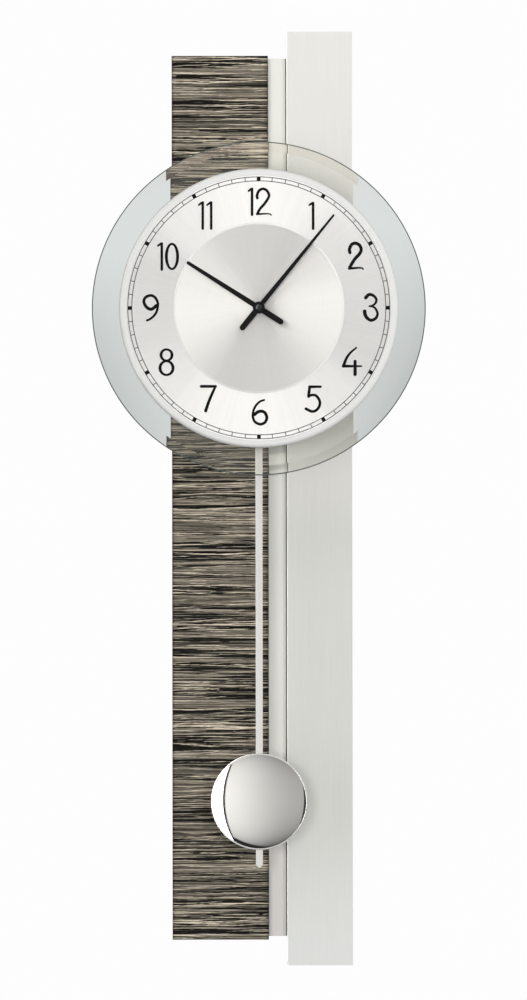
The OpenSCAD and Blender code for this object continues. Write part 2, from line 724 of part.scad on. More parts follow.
back_board();
silver_strip();
wood_panel_core();
wood_veneer();
aluminium_panel_core();
aluminium_sheet();
panel_screws();
hanger_plate();
hanger_screws();
wall_bumpers();
movement_bracket();
bracket_screws();
rubber_gasket();
felt_washer();
glass_disc();
centre_washer();
centre_nut();
dial_spacer();
dial_pan();
centre_disc();
movement_front_case();
movement_rear_case();
train_plate();
stator();
stepper_coil();
coil_core();
circuit_board();
quartz_crystal();
battery();
battery_contact_pos();
battery_contact_neg();
pendulum_coil();
lever_pin();
minute_arbor();
clutch_spring();
minute_hand();
hand_cap();
hour_wheel();
hour_hand();
minute_wheel();
set_knob();
centre_wheel();
third_wheel();
fourth_wheel();
intermediate_wheel();
rotor();
rotor_magnet();
pendulum_lever();
lever_magnet();
pendulum_rod();
bob_front();
bob_back();
bob_clip();
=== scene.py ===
"""Looks of the pendulum wall clock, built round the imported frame. Metres, +Z up, front faces -Y."""

import math

import bmesh
import bpy
import numpy as np
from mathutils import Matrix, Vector


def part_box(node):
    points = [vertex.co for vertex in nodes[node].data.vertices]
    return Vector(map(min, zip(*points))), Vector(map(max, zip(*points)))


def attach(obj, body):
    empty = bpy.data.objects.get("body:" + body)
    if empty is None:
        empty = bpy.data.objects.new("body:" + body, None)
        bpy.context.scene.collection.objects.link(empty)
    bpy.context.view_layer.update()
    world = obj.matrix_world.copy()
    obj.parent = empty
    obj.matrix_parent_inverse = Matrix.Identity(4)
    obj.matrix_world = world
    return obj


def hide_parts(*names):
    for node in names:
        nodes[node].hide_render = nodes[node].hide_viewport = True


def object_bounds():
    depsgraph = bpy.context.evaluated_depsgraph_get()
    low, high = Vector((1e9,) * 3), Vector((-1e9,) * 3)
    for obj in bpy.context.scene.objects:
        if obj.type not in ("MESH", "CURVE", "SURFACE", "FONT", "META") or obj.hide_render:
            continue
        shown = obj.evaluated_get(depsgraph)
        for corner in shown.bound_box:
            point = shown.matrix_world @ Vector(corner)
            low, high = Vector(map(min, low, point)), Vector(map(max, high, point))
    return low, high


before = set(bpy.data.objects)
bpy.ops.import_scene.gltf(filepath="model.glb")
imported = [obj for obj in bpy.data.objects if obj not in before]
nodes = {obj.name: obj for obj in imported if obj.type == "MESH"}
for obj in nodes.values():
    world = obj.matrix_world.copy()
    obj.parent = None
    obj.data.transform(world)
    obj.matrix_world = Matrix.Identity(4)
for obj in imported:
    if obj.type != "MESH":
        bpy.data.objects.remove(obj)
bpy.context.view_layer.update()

# ---------------------------------------------------------------- places

g_lo, g_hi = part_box("glass_disc")
AX = round((g_lo.x + g_hi.x) / 2, 6)  # axis of the hands
AZ = round((g_lo.z + g_hi.z) / 2, 6)
b_lo, b_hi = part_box("bob_front")
BOB_Z = (b_lo.z + b_hi.z) / 2 - AZ  # bob centre below the axis, metres


def P(x, z, f):
    """Point from millimetres right of and above the hands' axis, f forward of the wall side."""
    return (AX + x / 1000.0, -f / 1000.0, AZ + z / 1000.0)


def box_mm(name):
    """x0, x1, z0, z1, f0, f1 of a CAD node in millimetres about the hands' axis."""
    lo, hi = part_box(name)
    return (
        (lo.x - AX) * 1000,
        (hi.x - AX) * 1000,
        (lo.z - AZ) * 1000,
        (hi.z - AZ) * 1000,
        -hi.y * 1000,
        -lo.y * 1000,
    )


# ---------------------------------------------------------------- node helpers


class Net:
    """Short way to write shader maths."""

    def __init__(self, tree):
        self.tree = tree

    def new(self, kind, **props):
        n = self.tree.nodes.new(kind)
        for k, v in props.items():
            setattr(n, k, v)
        return n

    def put(self, socket, value):
        if isinstance(value, bpy.types.NodeSocket):
            self.tree.links.new(value, socket)
        else:
            socket.default_value = value

    def math(self, op, a, b=0.0, c=None, clamp=False):
        n = self.new("ShaderNodeMath", operation=op, use_clamp=clamp)
        self.put(n.inputs[0], a)
        self.put(n.inputs[1], b)
        if c is not None:
            self.put(n.inputs[2], c)
        return n.outputs[0]

    def add(self, a, b):
        return self.math("ADD", a, b)

    def sub(self, a, b):
        return self.math("SUBTRACT", a, b)

    def mul(self, a, b):
        return self.math("MULTIPLY", a, b)

    def ramp(self, value, a, b, smooth=True):
        """0 at a, 1 at b."""
        n = self.new(
            "ShaderNodeMapRange",
            interpolation_type="SMOOTHSTEP" if smooth else "LINEAR",
        )
        self.put(n.inputs["Value"], value)
        # smoothstep needs rising limits
        if a <= b:
            n.inputs["From Min"].default_value = a
            n.inputs["From Max"].default_value = b
            return n.outputs["Result"]
        n.inputs["From Min"].default_value = b
        n.inputs["From Max"].default_value = a
        n.inputs["To Min"].default_value = 1.0
        n.inputs["To Max"].default_value = 0.0
        return n.outputs["Result"]

    def mix(self, fac, a, b, kind="MIX"):
        n = self.new("ShaderNodeMix", data_type="RGBA", blend_type=kind)
        n.clamp_factor = True
        self.put(n.inputs[0], fac)
        self.put(n.inputs[6], a)
        self.put(n.inputs[7], b)
        return n.outputs[2]

    def coords(self, scale=(1, 1, 1), rotate=(0, 0, 0), location=(0, 0, 0)):
        t = self.new("ShaderNodeTexCoord")
        m = self.new("ShaderNodeMapping")
        m.inputs["Scale"].default_value = scale
        m.inputs["Rotation"].default_value = rotate
        m.inputs["Location"].default_value = location
        self.tree.links.new(t.outputs["Object"], m.inputs["Vector"])
        return m.outputs["Vector"]

    def noise(self, vector, scale=1.0, detail=4.0, rough=0.55, distort=0.0):
        n = self.new("ShaderNodeTexNoise")
        self.put(n.inputs["Vector"], vector)
        n.inputs["Scale"].default_value = scale
        n.inputs["Detail"].default_value = detail
        n.inputs["Roughness"].default_value = rough
        n.inputs["Distortion"].default_value = distort
        return n.outputs["Fac"]

    def colours(self, fac, stops):
        n = self.new("ShaderNodeValToRGB")
        el = n.color_ramp.elements
        while len(el) < len(stops):
            el.new(0.5)
        for e, (pos, col) in zip(el, stops):
            e.position = pos
            e.color = (*col, 1.0)
        self.put(n.inputs["Fac"], fac)
        return n.outputs["Color"]

    def bump(self, height, strength=0.2, distance=0.0002, normal=None):
        n = self.new("ShaderNodeBump")
        n.inputs["Strength"].default_value = strength
        n.inputs["Distance"].default_value = distance
        self.put(n.inputs["Height"], height)
        if normal is not None:
            self.put(n.inputs["Normal"], normal)
        return n.outputs["Normal"]


def shader(name):
    m = bpy.data.materials.new(name)
    m.use_nodes = True
    t = m.node_tree
    t.nodes.clear()
    n = Net(t)
    out = n.new("ShaderNodeOutputMaterial")
    bsdf = n.new("ShaderNodeBsdfPrincipled")
    t.links.new(bsdf.outputs[0], out.inputs["Surface"])
    return m, n, bsdf, out


def general(
    name,
    base,
    rough=0.5,
    metal=0.0,
    vary=0.08,
    scale=(160, 160, 160),
    fine=(900, 900, 900),
    rough_vary=0.1,
    bump=0.12,
    depth=0.0001,
    spec=0.5,
    coat=0.0,
    aniso=0.0,
    sheen=0.0,
    dust=0.0,
):
    """Solid material with two sizes of mottling in colour, roughness and bump."""
    m, n, b, _ = shader(name)
    big = n.noise(n.coords(scale), detail=3)
    small = n.noise(n.coords(fine), detail=4, rough=0.6)
    both = n.add(n.mul(big, 0.6), n.mul(small, 0.4))
    dark = tuple(max(0.0, c * (1 - vary)) for c in base)
    light = tuple(min(1.0, c * (1 + vary)) for c in base)
    col = n.colours(both, [(0.3, dark), (0.7, light)])
    if dust:
        up = n.new("ShaderNodeNewGeometry")
        s = n.new("ShaderNodeSeparateXYZ")
        n.put(s.inputs[0], up.outputs["Normal"])
        col = n.mix(n.mul(n.ramp(s.outputs["Z"], 0.5, 1.0), dust), col, (0.5, 0.49, 0.46, 1))
    n.put(b.inputs["Base Color"], col)
    n.put(
        b.inputs["Roughness"],
        n.add(n.mul(n.ramp(both, 0.3, 0.7, False), 2 * rough_vary), rough - rough_vary),
    )
    b.inputs["Metallic"].default_value = metal
    b.inputs["Specular IOR Level"].default_value = spec
    if coat:
        b.inputs["Coat Weight"].default_value = coat
        b.inputs["Coat Roughness"].default_value = 0.08
    if aniso:
        b.inputs["Anisotropic"].default_value = aniso
    if sheen:
        b.inputs["Sheen Weight"].default_value = sheen
    if bump:
        n.put(b.inputs["Normal"], n.bump(small, bump, depth))
    return m


# ---------------------------------------------------------------- mesh helpers


def finish_mesh(ob, sharp=32.0, smooth=True):
    me = ob.data
    if smooth:
        me.polygons.foreach_set("use_smooth", np.ones(len(me.polygons), bool))
        me.set_sharp_from_angle(angle=math.radians(sharp))
    me.update()
    return ob


def make(name, verts, faces, mats, body="root", slot=None, sharp=32.0, outward=True, smooth=True, indices=None):
    me = bpy.data.meshes.new(name)
    me.from_pydata([tuple(v) for v in verts], [], [tuple(f) for f in faces])
    for m in mats if isinstance(mats, (list, tuple)) else [mats]:
        me.materials.append(m)
    if indices is not None:
        me.polygons.foreach_set("material_index", np.array(indices, np.int32))
    if outward:
        bm = bmesh.new()
        bm.from_mesh(me)
        bmesh.ops.recalc_face_normals(bm, faces=bm.faces)
        bm.to_mesh(me)
        bm.free()
    ob = bpy.data.objects.new(name, me)
    bpy.context.scene.collection.objects.link(ob)
    finish_mesh(ob, sharp, smooth)
    if body:
        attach(ob, body)
    return ob


def fillet(points, radii, steps=5):
    """Closed outline with its corners rounded."""
    out = []
    k = len(points)
    for i, (p, r) in enumerate(zip(points, radii)):
        p = np.array(p, float)
        a = np.array(points[i - 1], float) - p
        b = np.array(points[(i + 1) % k], float) - p
        la, lb = np.linalg.norm(a), np.linalg.norm(b)
        a, b = a / la, b / lb
        ang = math.acos(max(-1, min(1, float(a @ b))))
        if r <= 0 or ang > math.pi - 0.02:
            out.append(tuple(p))
            continue
        d = min(r / math.tan(ang / 2), 0.49 * la, 0.49 * lb)
        r = d * math.tan(ang / 2)
        c = p + (a + b) / np.linalg.norm(a + b) * (r / math.sin(ang / 2))
        s, e = p + a * d - c, p + b * d - c
        a0 = math.atan2(s[1], s[0])
        turn = math.atan2(s[0] * e[1] - s[1] * e[0], float(s @ e))
        for j in range(steps + 1):
            t = a0 + turn * j / steps
            out.append((c[0] + r * math.cos(t), c[1] + r * math.sin(t)))
    return out


def lathe_data(prof, n=256, cx=0.0, cz=0.0, closed=True):
    """Rings of a profile of (radius, f) turned about the depth axis at cx, cz."""
    verts, faces = [], []
    ring = []
    for r, f in prof:
        if r < 1e-6:
            ring.append([len(verts)])
            verts.append(P(cx, cz, f))
        else:
            ids = []
            for i in range(n):
                a = 2 * math.pi * i / n
                ids.append(len(verts))
                verts.append(P(cx + r * math.cos(a), cz + r * math.sin(a), f))
            ring.append(ids)
    k = len(prof)
    of = []
    for j in range(k if closed else k - 1):
        a, b = ring[j], ring[(j + 1) % k]
        if len(a) == 1 and len(b) == 1:
            continue
        for i in range(n):
            i2 = (i + 1) % n
            if len(a) == 1:
                faces.append((a[0], b[i], b[i2]))
            elif len(b) == 1:
                faces.append((a[i], b[0], a[i2]))
            else:
                faces.append((a[i], b[i], b[i2], a[i2]))
            of.append(j)
    return verts, faces, of


def lathe(name, prof, mats, n=256, cx=0.0, cz=0.0, closed=True, pick=None, **kw):
    verts, faces, of = lathe_data(prof, n, cx, cz, closed)
    idx = [pick(prof[j], prof[(j + 1) % len(prof)]) for j in of] if pick else None
    return make(name, verts, faces, mats, indices=idx, **kw)


def prism_data(outline, f0, f1, holes=None):
    """Closed solid of a flat outline in x, z (millimetres about the axis)."""
    k = len(outline)
    verts = [P(x, z, f0) for x, z in outline] + [P(x, z, f1) for x, z in outline]
    faces = [tuple(range(k)), tuple(range(2 * k - 1, k - 1, -1))]
    faces += [(i, (i + 1) % k, k + (i + 1) % k, k + i) for i in range(k)]
    return verts, faces


def disc_data(r, f0, f1, n=96, cx=0.0, cz=0.0):
    """Short round bar along the depth."""
    return prism_data([(cx + r * math.cos(2 * math.pi * i / n), cz + r * math.sin(2 * math.pi * i / n)) for i in range(n)], f0, f1)


def joined(parts):
    """Several (verts, faces) as one."""
    verts, faces = [], []
    for v, f in parts:
        o = len(verts)
        verts += list(v)
        faces += [tuple(i + o for i in q) for q in f]
    return verts, faces


def apply_all(ob):
    """Modifiers made part of the mesh."""
    dg = bpy.context.evaluated_depsgraph_get()
    dg.update()
    me = bpy.data.meshes.new_from_object(ob.evaluated_get(dg), preserve_all_data_layers=True, depsgraph=dg)
    ob.modifiers.clear()
    old = ob.data
    ob.data = me
    if old.users == 0:
        bpy.data.meshes.remove(old)
    return ob


def solid(name, data):
    me = bpy.data.meshes.new(name)
    me.from_pydata([tuple(v) for v in data[0]], [], [tuple(f) for f in data[1]])
    bm = bmesh.new()
    bm.from_mesh(me)
    bmesh.ops.recalc_face_normals(bm, faces=bm.faces)
    bm.to_mesh(me)
    bm.free()
    ob = bpy.data.objects.new(name, me)
    bpy.context.scene.collection.objects.link(ob)
    return ob


def combine(name, first, others):
    """first, then each (operation, data) in turn, as one clean solid."""
    ob = solid(name, first)
    tools = []
    for op, data in others:
        t = solid(name + "_tool", data)
        tools.append(t)
        m = ob.modifiers.new("b", "BOOLEAN")
        m.operation = op
        m.solver = "EXACT"
        m.object = t
    apply_all(ob)
    for t in tools:
        me = t.data
        bpy.data.objects.remove(t)
        bpy.data.meshes.remove(me)
    return ob


def flat_normals(ob):
    """Keeps large flats flat beside small rounded edges."""
    m = ob.modifiers.new("even", "WEIGHTED_NORMAL")
    m.mode = "FACE_AREA"
    m.weight = 80
    m.keep_sharp = True
    return ob


def soften(ob, width, segments=2, angle=40.0, weld=False):
    """Small rounded edges."""
    if weld:
        w = ob.modifiers.new("weld", "WELD")
        w.merge_threshold = 2e-6
    m = ob.modifiers.new("soft", "BEVEL")
    m.width = width / 1000.0
    m.segments = segments
    m.limit_method = "ANGLE"
    m.angle_limit = math.radians(angle)
    m.use_clamp_overlap = True
    m.harden_normals = False
    if weld:
        flat_normals(ob)
    return ob


def dress(ob, mats, body, sharp=32.0):
    ob.data.materials.clear()
    for m in mats if isinstance(mats, (list, tuple)) else [mats]:
        ob.data.materials.append(m)
    finish_mesh(ob, sharp)
    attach(ob, body)
    return ob


# ---------------------------------------------------------------- strokes


def spline(pts, per=8):
    """Smooth line through points."""
    pts = [np.array(p, float) for p in pts]
    if len(pts) < 3:
        return pts
    ext = [2 * pts[0] - pts[1]] + pts + [2 * pts[-1] - pts[-2]]
    out = []
    for i in range(1, len(ext) - 2):
        p0, p1, p2, p3 = ext[i - 1 : i + 3]
        for j in range(per):
            t = j / per
            out.append(
                0.5
                * (
                    2 * p1
                    + (p2 - p0) * t
                    + (2 * p0 - 5 * p1 + 4 * p2 - p3) * t * t
                    + (3 * p1 - p0 - 3 * p2 + p3) * t**3
                )
            )
    out.append(pts[-1])
    return out


def stroke(pts, w0, w1=None, curved=True, loop=False, per=8, caps=(True, True)):
    """Outline of a pen stroke, w0 wide at its start and w1 at its end."""
    w1 = w0 if w1 is None else w1
    line = spline(pts, per) if curved and not loop else [np.array(p, float) for p in pts]
    k = len(line)
    dist = [0.0]
    for a, b in zip(line, line[1:]):
        dist.append(dist[-1] + float(np.linalg.norm(b - a)))
    total = dist[-1] or 1.0
    left, right = [], []
    ends = []
    for i, p in enumerate(line):
        d = line[min(i + 1, k - 1)] - line[max(i - 1, 0)]
        d = d / (np.linalg.norm(d) or 1.0)
        nrm = np.array([-d[1], d[0]])
        h = (w0 + (w1 - w0) * dist[i] / total) / 2
        left.append(p + nrm * h)
        right.append(p - nrm * h)
        ends.append((d, nrm, h))
    out = list(left)
    if caps[1]:
        d, nrm, h = ends[-1]
        for j in range(1, 8):
            a = math.pi * j / 8
            out.append(line[-1] + nrm * h * math.cos(a) + d * h * math.sin(a))
    out += right[::-1]
    if caps[0]:
        d, nrm, h = ends[0]
        for j in range(1, 8):
            a = math.pi * j / 8
            out.append(line[0] - nrm * h * math.cos(a) - d * h * math.sin(a))
    return [tuple(p) for p in out]


def ring_data(cx, cz, rx, rz, wx, wz, f0, f1, n=72):
    """Flat oval ring, wx thick at its sides and wz at its ends."""
    verts, faces = [], []
    for i in range(n):
        a = 2 * math.pi * i / n
        c, s = math.cos(a), math.sin(a)
        for x, z in ((rx * c, rz * s), ((rx - wx) * c, (rz - wz) * s)):
            for f in (f0, f1):
                verts.append(P(cx + x, cz + z, f))
    for i in range(n):
        a, b = 4 * i, 4 * ((i + 1) % n)
        faces += [(a, b, b + 1, a + 1), (a + 1, b + 1, b + 3, a + 3), (a + 3, b + 3, b + 2, a + 2), (a + 2, b + 2, b, a)]
    return verts, faces


# ---------------------------------------------------------------- camera

SHEET = box_mm("aluminium_sheet")
camera = bpy.data.cameras.new("camera")
camera.lens = 150.5
camera.sensor_width = 36.0
camera.clip_start = 0.05
camera.clip_end = 60.0
cam = bpy.data.objects.new("camera", camera)
bpy.context.scene.collection.objects.link(cam)
cam.location = (AX + 0.00317, -3.0 - SHEET[5] / 1000.0, AZ - 0.1354)
cam.rotation_euler = (math.radians(90), math.radians(0.07), 0)
bpy.context.scene.camera = cam
bpy.context.scene.view_settings.view_transform = "Standard"
bpy.context.scene.view_settings.look = "None"

# ---------------------------------------------------------------- studio

world = bpy.data.worlds.new("studio")
bpy.context.scene.world = world
world.use_nodes = True
wt = world.node_tree
wt.nodes.clear()
w = Net(wt)
w_out = w.new("ShaderNodeOutputWorld")
w_bg = w.new("ShaderNodeBackground")
wt.links.new(w_bg.outputs[0], w_out.inputs["Surface"])
way = w.new("ShaderNodeTexCoord")
xyz = w.new("ShaderNodeSeparateXYZ")
wt.links.new(way.outputs["Generated"], xyz.inputs[0])
dx, dy, dz = xyz.outputs
ahead = w.math("MAXIMUM", w.mul(dy, -1.0), 0.04)
px = w.math("DIVIDE", dx, ahead)
pz = w.math("DIVIDE", dz, ahead)
# front diffuser: brighter on the left, falling off to the right, up and down
side = w.math("DIVIDE", 0.60, w.add(1.0, w.math("EXPONENT", w.mul(w.add(px, 0.09), 2.95))))
fall = w.sub(1.0, w.mul(w.math("POWER", w.math("ABSOLUTE", w.sub(pz, 0.04)), 2.0), 0.205))
level = w.mul(w.mul(w.add(side, 0.412), w.math("MAXIMUM", fall, 0.2)), 1.015)
tent = w.mul(
    w.mul(w.ramp(px, -0.97, -0.93), w.ramp(px, 1.62, 1.54)),
    w.mul(
        w.ramp(w.add(pz, w.mul(px, 0.40)), -1.86, -1.74),
        w.ramp(w.add(pz, w.mul(px, 0.30)), 1.86, 1.78),
    ),
)
left_panel = w.mul(w.ramp(px, -1.05, -1.10), w.ramp(w.add(pz, w.mul(px, 0.30)), -2.6, -2.2))
top_right = w.mul(w.ramp(w.add(pz, w.mul(px, 0.30)), 1.90, 1.98), 1.0)
right_up = w.mul(w.ramp(px, 1.66, 1.74), w.ramp(pz, 0.30, 0.9))
others = w.math("MAXIMUM", w.mul(left_panel, 5.1), w.math("MAXIMUM", w.mul(top_right, 0.9), w.mul(right_up, 1.1)))
front = w.add(w.mul(tent, level), w.mul(w.sub(1.0, tent), w.add(others, 0.02)))
is_front = w.ramp(dy, 0.02, -0.02)
behind = 0.735  # grey card behind, seen through the glass
studio = w.add(w.mul(front, is_front), w.mul(w.sub(1.0, is_front), behind))
tinted = w.mix(
    is_front,
    w.mix(1.0, studio, (0.96, 1.005, 1.034, 1), "MULTIPLY"),
    w.mix(1.0, studio, (1.0, 0.978, 0.935, 1), "MULTIPLY"),
)
path = w.new("ShaderNodeLightPath")
soft = w.add(w.mul(dz, 0.04), 0.15)
after_diffuse = w.math("MINIMUM", path.outputs["Diffuse Depth"], 1.0)
col = w.mix(after_diffuse, tinted, w.mix(1.0, soft, (1.0, 0.995, 0.985, 1), "MULTIPLY"))
col = w.mix(path.outputs["Is Camera Ray"], col, (0.984, 0.984, 0.984, 1))
wt.links.new(col, w_bg.inputs["Color"])
if hasattr(world, "cycles"):
    world.cycles.sampling_method = "NONE"


def area(name, place, aim, size, watts, colour=(1, 1, 1)):
    d = bpy.data.lights.new(name, "AREA")
    d.shape = "RECTANGLE"
    d.size, d.size_y = size
    d.energy = watts
    d.color = colour
    o = bpy.data.objects.new(name, d)
    bpy.context.scene.collection.objects.link(o)
    o.location = place
    o.rotation_euler = (Vector(aim) - Vector(place)).to_track_quat("-Z", "Y").to_euler()
    o.visible_camera = False
    o.visible_glossy = False
    o.visible_transmission = False
    return o


area("key", (-0.60, -2.5, -0.20), (0, -0.03, -0.22), (0.6, 0.6), 23.5, (1.0, 0.985, 0.965))
area("fill", (0.70, -2.2, -0.26), (0, -0.03, -0.24), (0.6, 0.6), 15.0, (0.97, 0.985, 1.0))
area("side_l", (-1.5, -0.85, -0.30), (0, -0.03, -0.30), (0.5, 1.3), 6.0, (0.99, 0.995, 1.0))
area("side_r", (1.5, -0.85, -0.15), (0, -0.03, -0.25), (0.5, 1.3), 15.0, (1.0, 0.995, 0.985))
area("top", (0.0, -0.60, 0.66), (0, -0.02, 0.0), (0.5, 0.2), 2.2, (1.0, 0.99, 0.985))
area("low", (0.0, -0.60, -1.22), (0, -0.02, -0.6), (0.5, 0.2), 1.4, (0.97, 0.995, 1.0))

# pale floor, well below the clock
lo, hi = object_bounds()
floor_z = lo.z - 0.55
floor = bpy.data.meshes.new("floor")
s, k = 2.4, 40
fv = [(-s + 2 * s * i / k, -s + 2 * s * j / k, floor_z) for j in range(k + 1) for i in range(k + 1)]
ff = [
    (j * (k + 1) + i, j * (k + 1) + i + 1, (j + 1) * (k + 1) + i + 1, (j + 1) * (k + 1) + i)
    for j in range(k)
    for i in range(k)
]
floor.from_pydata(fv, [], ff)
floor_ob = bpy.data.objects.new("floor", floor)
bpy.context.scene.collection.objects.link(floor_ob)
floor_ob.visible_glossy = False
floor_ob.visible_diffuse = False
# wash over the floor alone, from below the clock
area("wash", (0.0, 0.0, lo.z - 0.06), (0.0, 0.0, floor_z), (7.5, 7.5), 140, (1.0, 1.0, 0.995))
floor.materials.append(general("floor_paint", (0.80, 0.80, 0.79), rough=0.7, vary=0.02, scale=(3, 3, 3), fine=(30, 30, 30), bump=0.05))

# ---------------------------------------------------------------- materials


def brushed_panel(name):
    """Vertical brushed aluminium, near white, very fine."""
    m, n, b, _ = shader(name)
    fine = n.noise(n.coords((6200, 6200, 26)), detail=3, rough=0.7)
    wide = n.noise(n.coords((1500, 1500, 9)), detail=4, rough=0.6)
    cloud = n.noise(n.coords((7, 7, 4)), detail=2)
    t = n.add(n.add(n.mul(fine, 0.45), n.mul(wide, 0.35)), n.mul(cloud, 0.20))
    co = n.new("ShaderNodeTexCoord")
    sep = n.new("ShaderNodeSeparateXYZ")
    n.put(sep.inputs[0], co.outputs["Object"])
    z = n.sub(sep.outputs[2], AZ)
    # painted light: the panel is paler from just below the dial to its top, making up for the dial's shade and the
    # lights' falloff, and paler and slightly cooler at its foot
    painted_light_upper = n.ramp(z, -0.165, -0.104)
    painted_light_foot = n.ramp(z, -0.34, -0.49)
    usual = n.colours(t, [(0.34, (0.725, 0.732, 0.704)), (0.52, (0.778, 0.785, 0.756)), (0.68, (0.828, 0.834, 0.808))])
    light = n.colours(t, [(0.34, (0.825, 0.822, 0.800)), (0.52, (0.873, 0.870, 0.848)), (0.68, (0.915, 0.912, 0.890))])
    painted_light_foot_colours = n.colours(t, [(0.34, (0.800, 0.820, 0.808)), (0.52, (0.848, 0.868, 0.856)), (0.68, (0.890, 0.910, 0.898))])
    n.put(b.inputs["Base Color"], n.mix(painted_light_foot, n.mix(painted_light_upper, usual, light), painted_light_foot_colours))
    n.put(b.inputs["Roughness"], n.add(n.mul(t, 0.12), 0.34))
    b.inputs["Metallic"].default_value = 0.55
    b.inputs["Anisotropic"].default_value = 0.6
    b.inputs["Anisotropic Rotation"].default_value = 0.25
    n.put(b.inputs["Normal"], n.bump(n.add(n.mul(fine, 0.6), n.mul(wide, 0.4)), 0.05, 0.00003))
    tan = n.new("ShaderNodeTangent", direction_type="RADIAL", axis="Z")
    n.put(b.inputs["Tangent"], tan.outputs[0])
    return m


def spun(name, base, rough, metal, aniso, turned, rings=True):
    """Metal with grooves round the hands' axis (turned 0) or out from it (turned 0.25)."""
    m, n, b, _ = shader(name)
    co = n.new("ShaderNodeTexCoord")
    sep = n.new("ShaderNodeSeparateXYZ")
    n.put(sep.inputs[0], co.outputs["Object"])
    x = n.sub(sep.outputs[0], AX)
    z = n.sub(sep.outputs[2], AZ)
    r = n.math("SQRT", n.add(n.mul(x, x), n.mul(z, z)))
    a = n.math("ARCTAN2", z, x)
    v = n.new("ShaderNodeCombineXYZ")
    if rings:
        n.put(v.inputs[0], n.mul(r, 5200.0))
        n.put(v.inputs[1], n.mul(n.math("COSINE", a), 1.4))
        n.put(v.inputs[2], n.mul(n.math("SINE", a), 1.4))
    else:
        n.put(v.inputs[0], n.mul(r, 30.0))
        n.put(v.inputs[1], n.mul(n.math("COSINE", a), 160.0))
        n.put(v.inputs[2], n.mul(n.math("SINE", a), 160.0))
    grain = n.noise(v.outputs[0], detail=3, rough=0.6)
    u = n.new("ShaderNodeCombineXYZ")
    n.put(u.inputs[0], n.mul(r, 8.0))
    n.put(u.inputs[1], n.mul(n.math("COSINE", a), 9.0))
    n.put(u.inputs[2], n.mul(n.math("SINE", a), 9.0))
    streak = n.noise(u.outputs[0], detail=3, rough=0.6)
    t = n.add(n.mul(grain, 0.6), n.mul(streak, 0.4))
    lo_c = tuple(c * 0.955 for c in base)
    hi_c = tuple(min(0.985, c * 1.035) for c in base)
    n.put(b.inputs["Base Color"], n.colours(t, [(0.35, lo_c), (0.65, hi_c)]))
    n.put(b.inputs["Roughness"], n.add(n.mul(grain, 0.08), rough - 0.04))
    # painted light: less metallic, so more diffuse and brighter, along the sectors the brushed reflection leaves dark
    # and along one narrow streak at a fixed angle
    painted_light_sectors = n.math("POWER", n.math("ABSOLUTE", n.math("SINE" if rings else "COSINE", a)), 8.0 if rings else 5.0)
    painted_light_streak = n.math("ABSOLUTE", n.math("COSINE", n.sub(a, math.radians(222 if rings else 138))))
    painted_light_streak = n.math("POWER", painted_light_streak, 900.0 if rings else 420.0)
    painted_light_metal_cut = n.add(n.mul(painted_light_sectors, 0.13 if rings else 0.06), n.mul(painted_light_streak, 0.10))
    n.put(b.inputs["Metallic"], n.sub(metal, painted_light_metal_cut))
    b.inputs["Anisotropic"].default_value = aniso
    b.inputs["Anisotropic Rotation"].default_value = turned
    tan = n.new("ShaderNodeTangent", direction_type="RADIAL", axis="Y")
    n.put(b.inputs["Tangent"], tan.outputs[0])
    n.put(b.inputs["Normal"], n.bump(grain, 0.05, 0.00003))
    return m


def lacquer(name):
    """Silver lacquer under gloss, with painted light making it palest from just below the dial upward and painted shade
    making it darker and slightly warmer towards its lower end.
    """
    m, n, b, _ = shader(name)
    co = n.new("ShaderNodeTexCoord")
    sep = n.new("ShaderNodeSeparateXYZ")
    n.put(sep.inputs[0], co.outputs["Object"])
    flake = n.noise(n.coords((1400, 1400, 500)), detail=3)
    cloud = n.noise(n.coords((20, 20, 6)), detail=3)
    t = n.add(n.mul(flake, 0.6), n.mul(cloud, 0.4))
    # painted light: paler from just below the dial upward
    painted_light_upper = n.ramp(sep.outputs[2], AZ - 0.155, AZ - 0.104)
    usual = n.colours(t, [(0.35, (0.918, 0.926, 0.884)), (0.65, (0.938, 0.945, 0.902))])
    c = n.mix(painted_light_upper, usual, n.colours(t, [(0.35, (0.955, 0.962, 0.915)), (0.65, (0.972, 0.979, 0.932))]))
    # painted shade: darker and slightly warmer towards the lower end
    low = n.ramp(sep.outputs[2], AZ - 0.33, AZ - 0.40)
    n.put(b.inputs["Base Color"], n.mix(low, c, (0.825, 0.806, 0.785, 1)))
    n.put(b.inputs["Roughness"], n.add(n.mul(cloud, 0.02), 0.045))
    b.inputs["Metallic"].default_value = 0.25
    n.put(b.inputs["Normal"], n.bump(flake, 0.02, 0.00003))
    return m


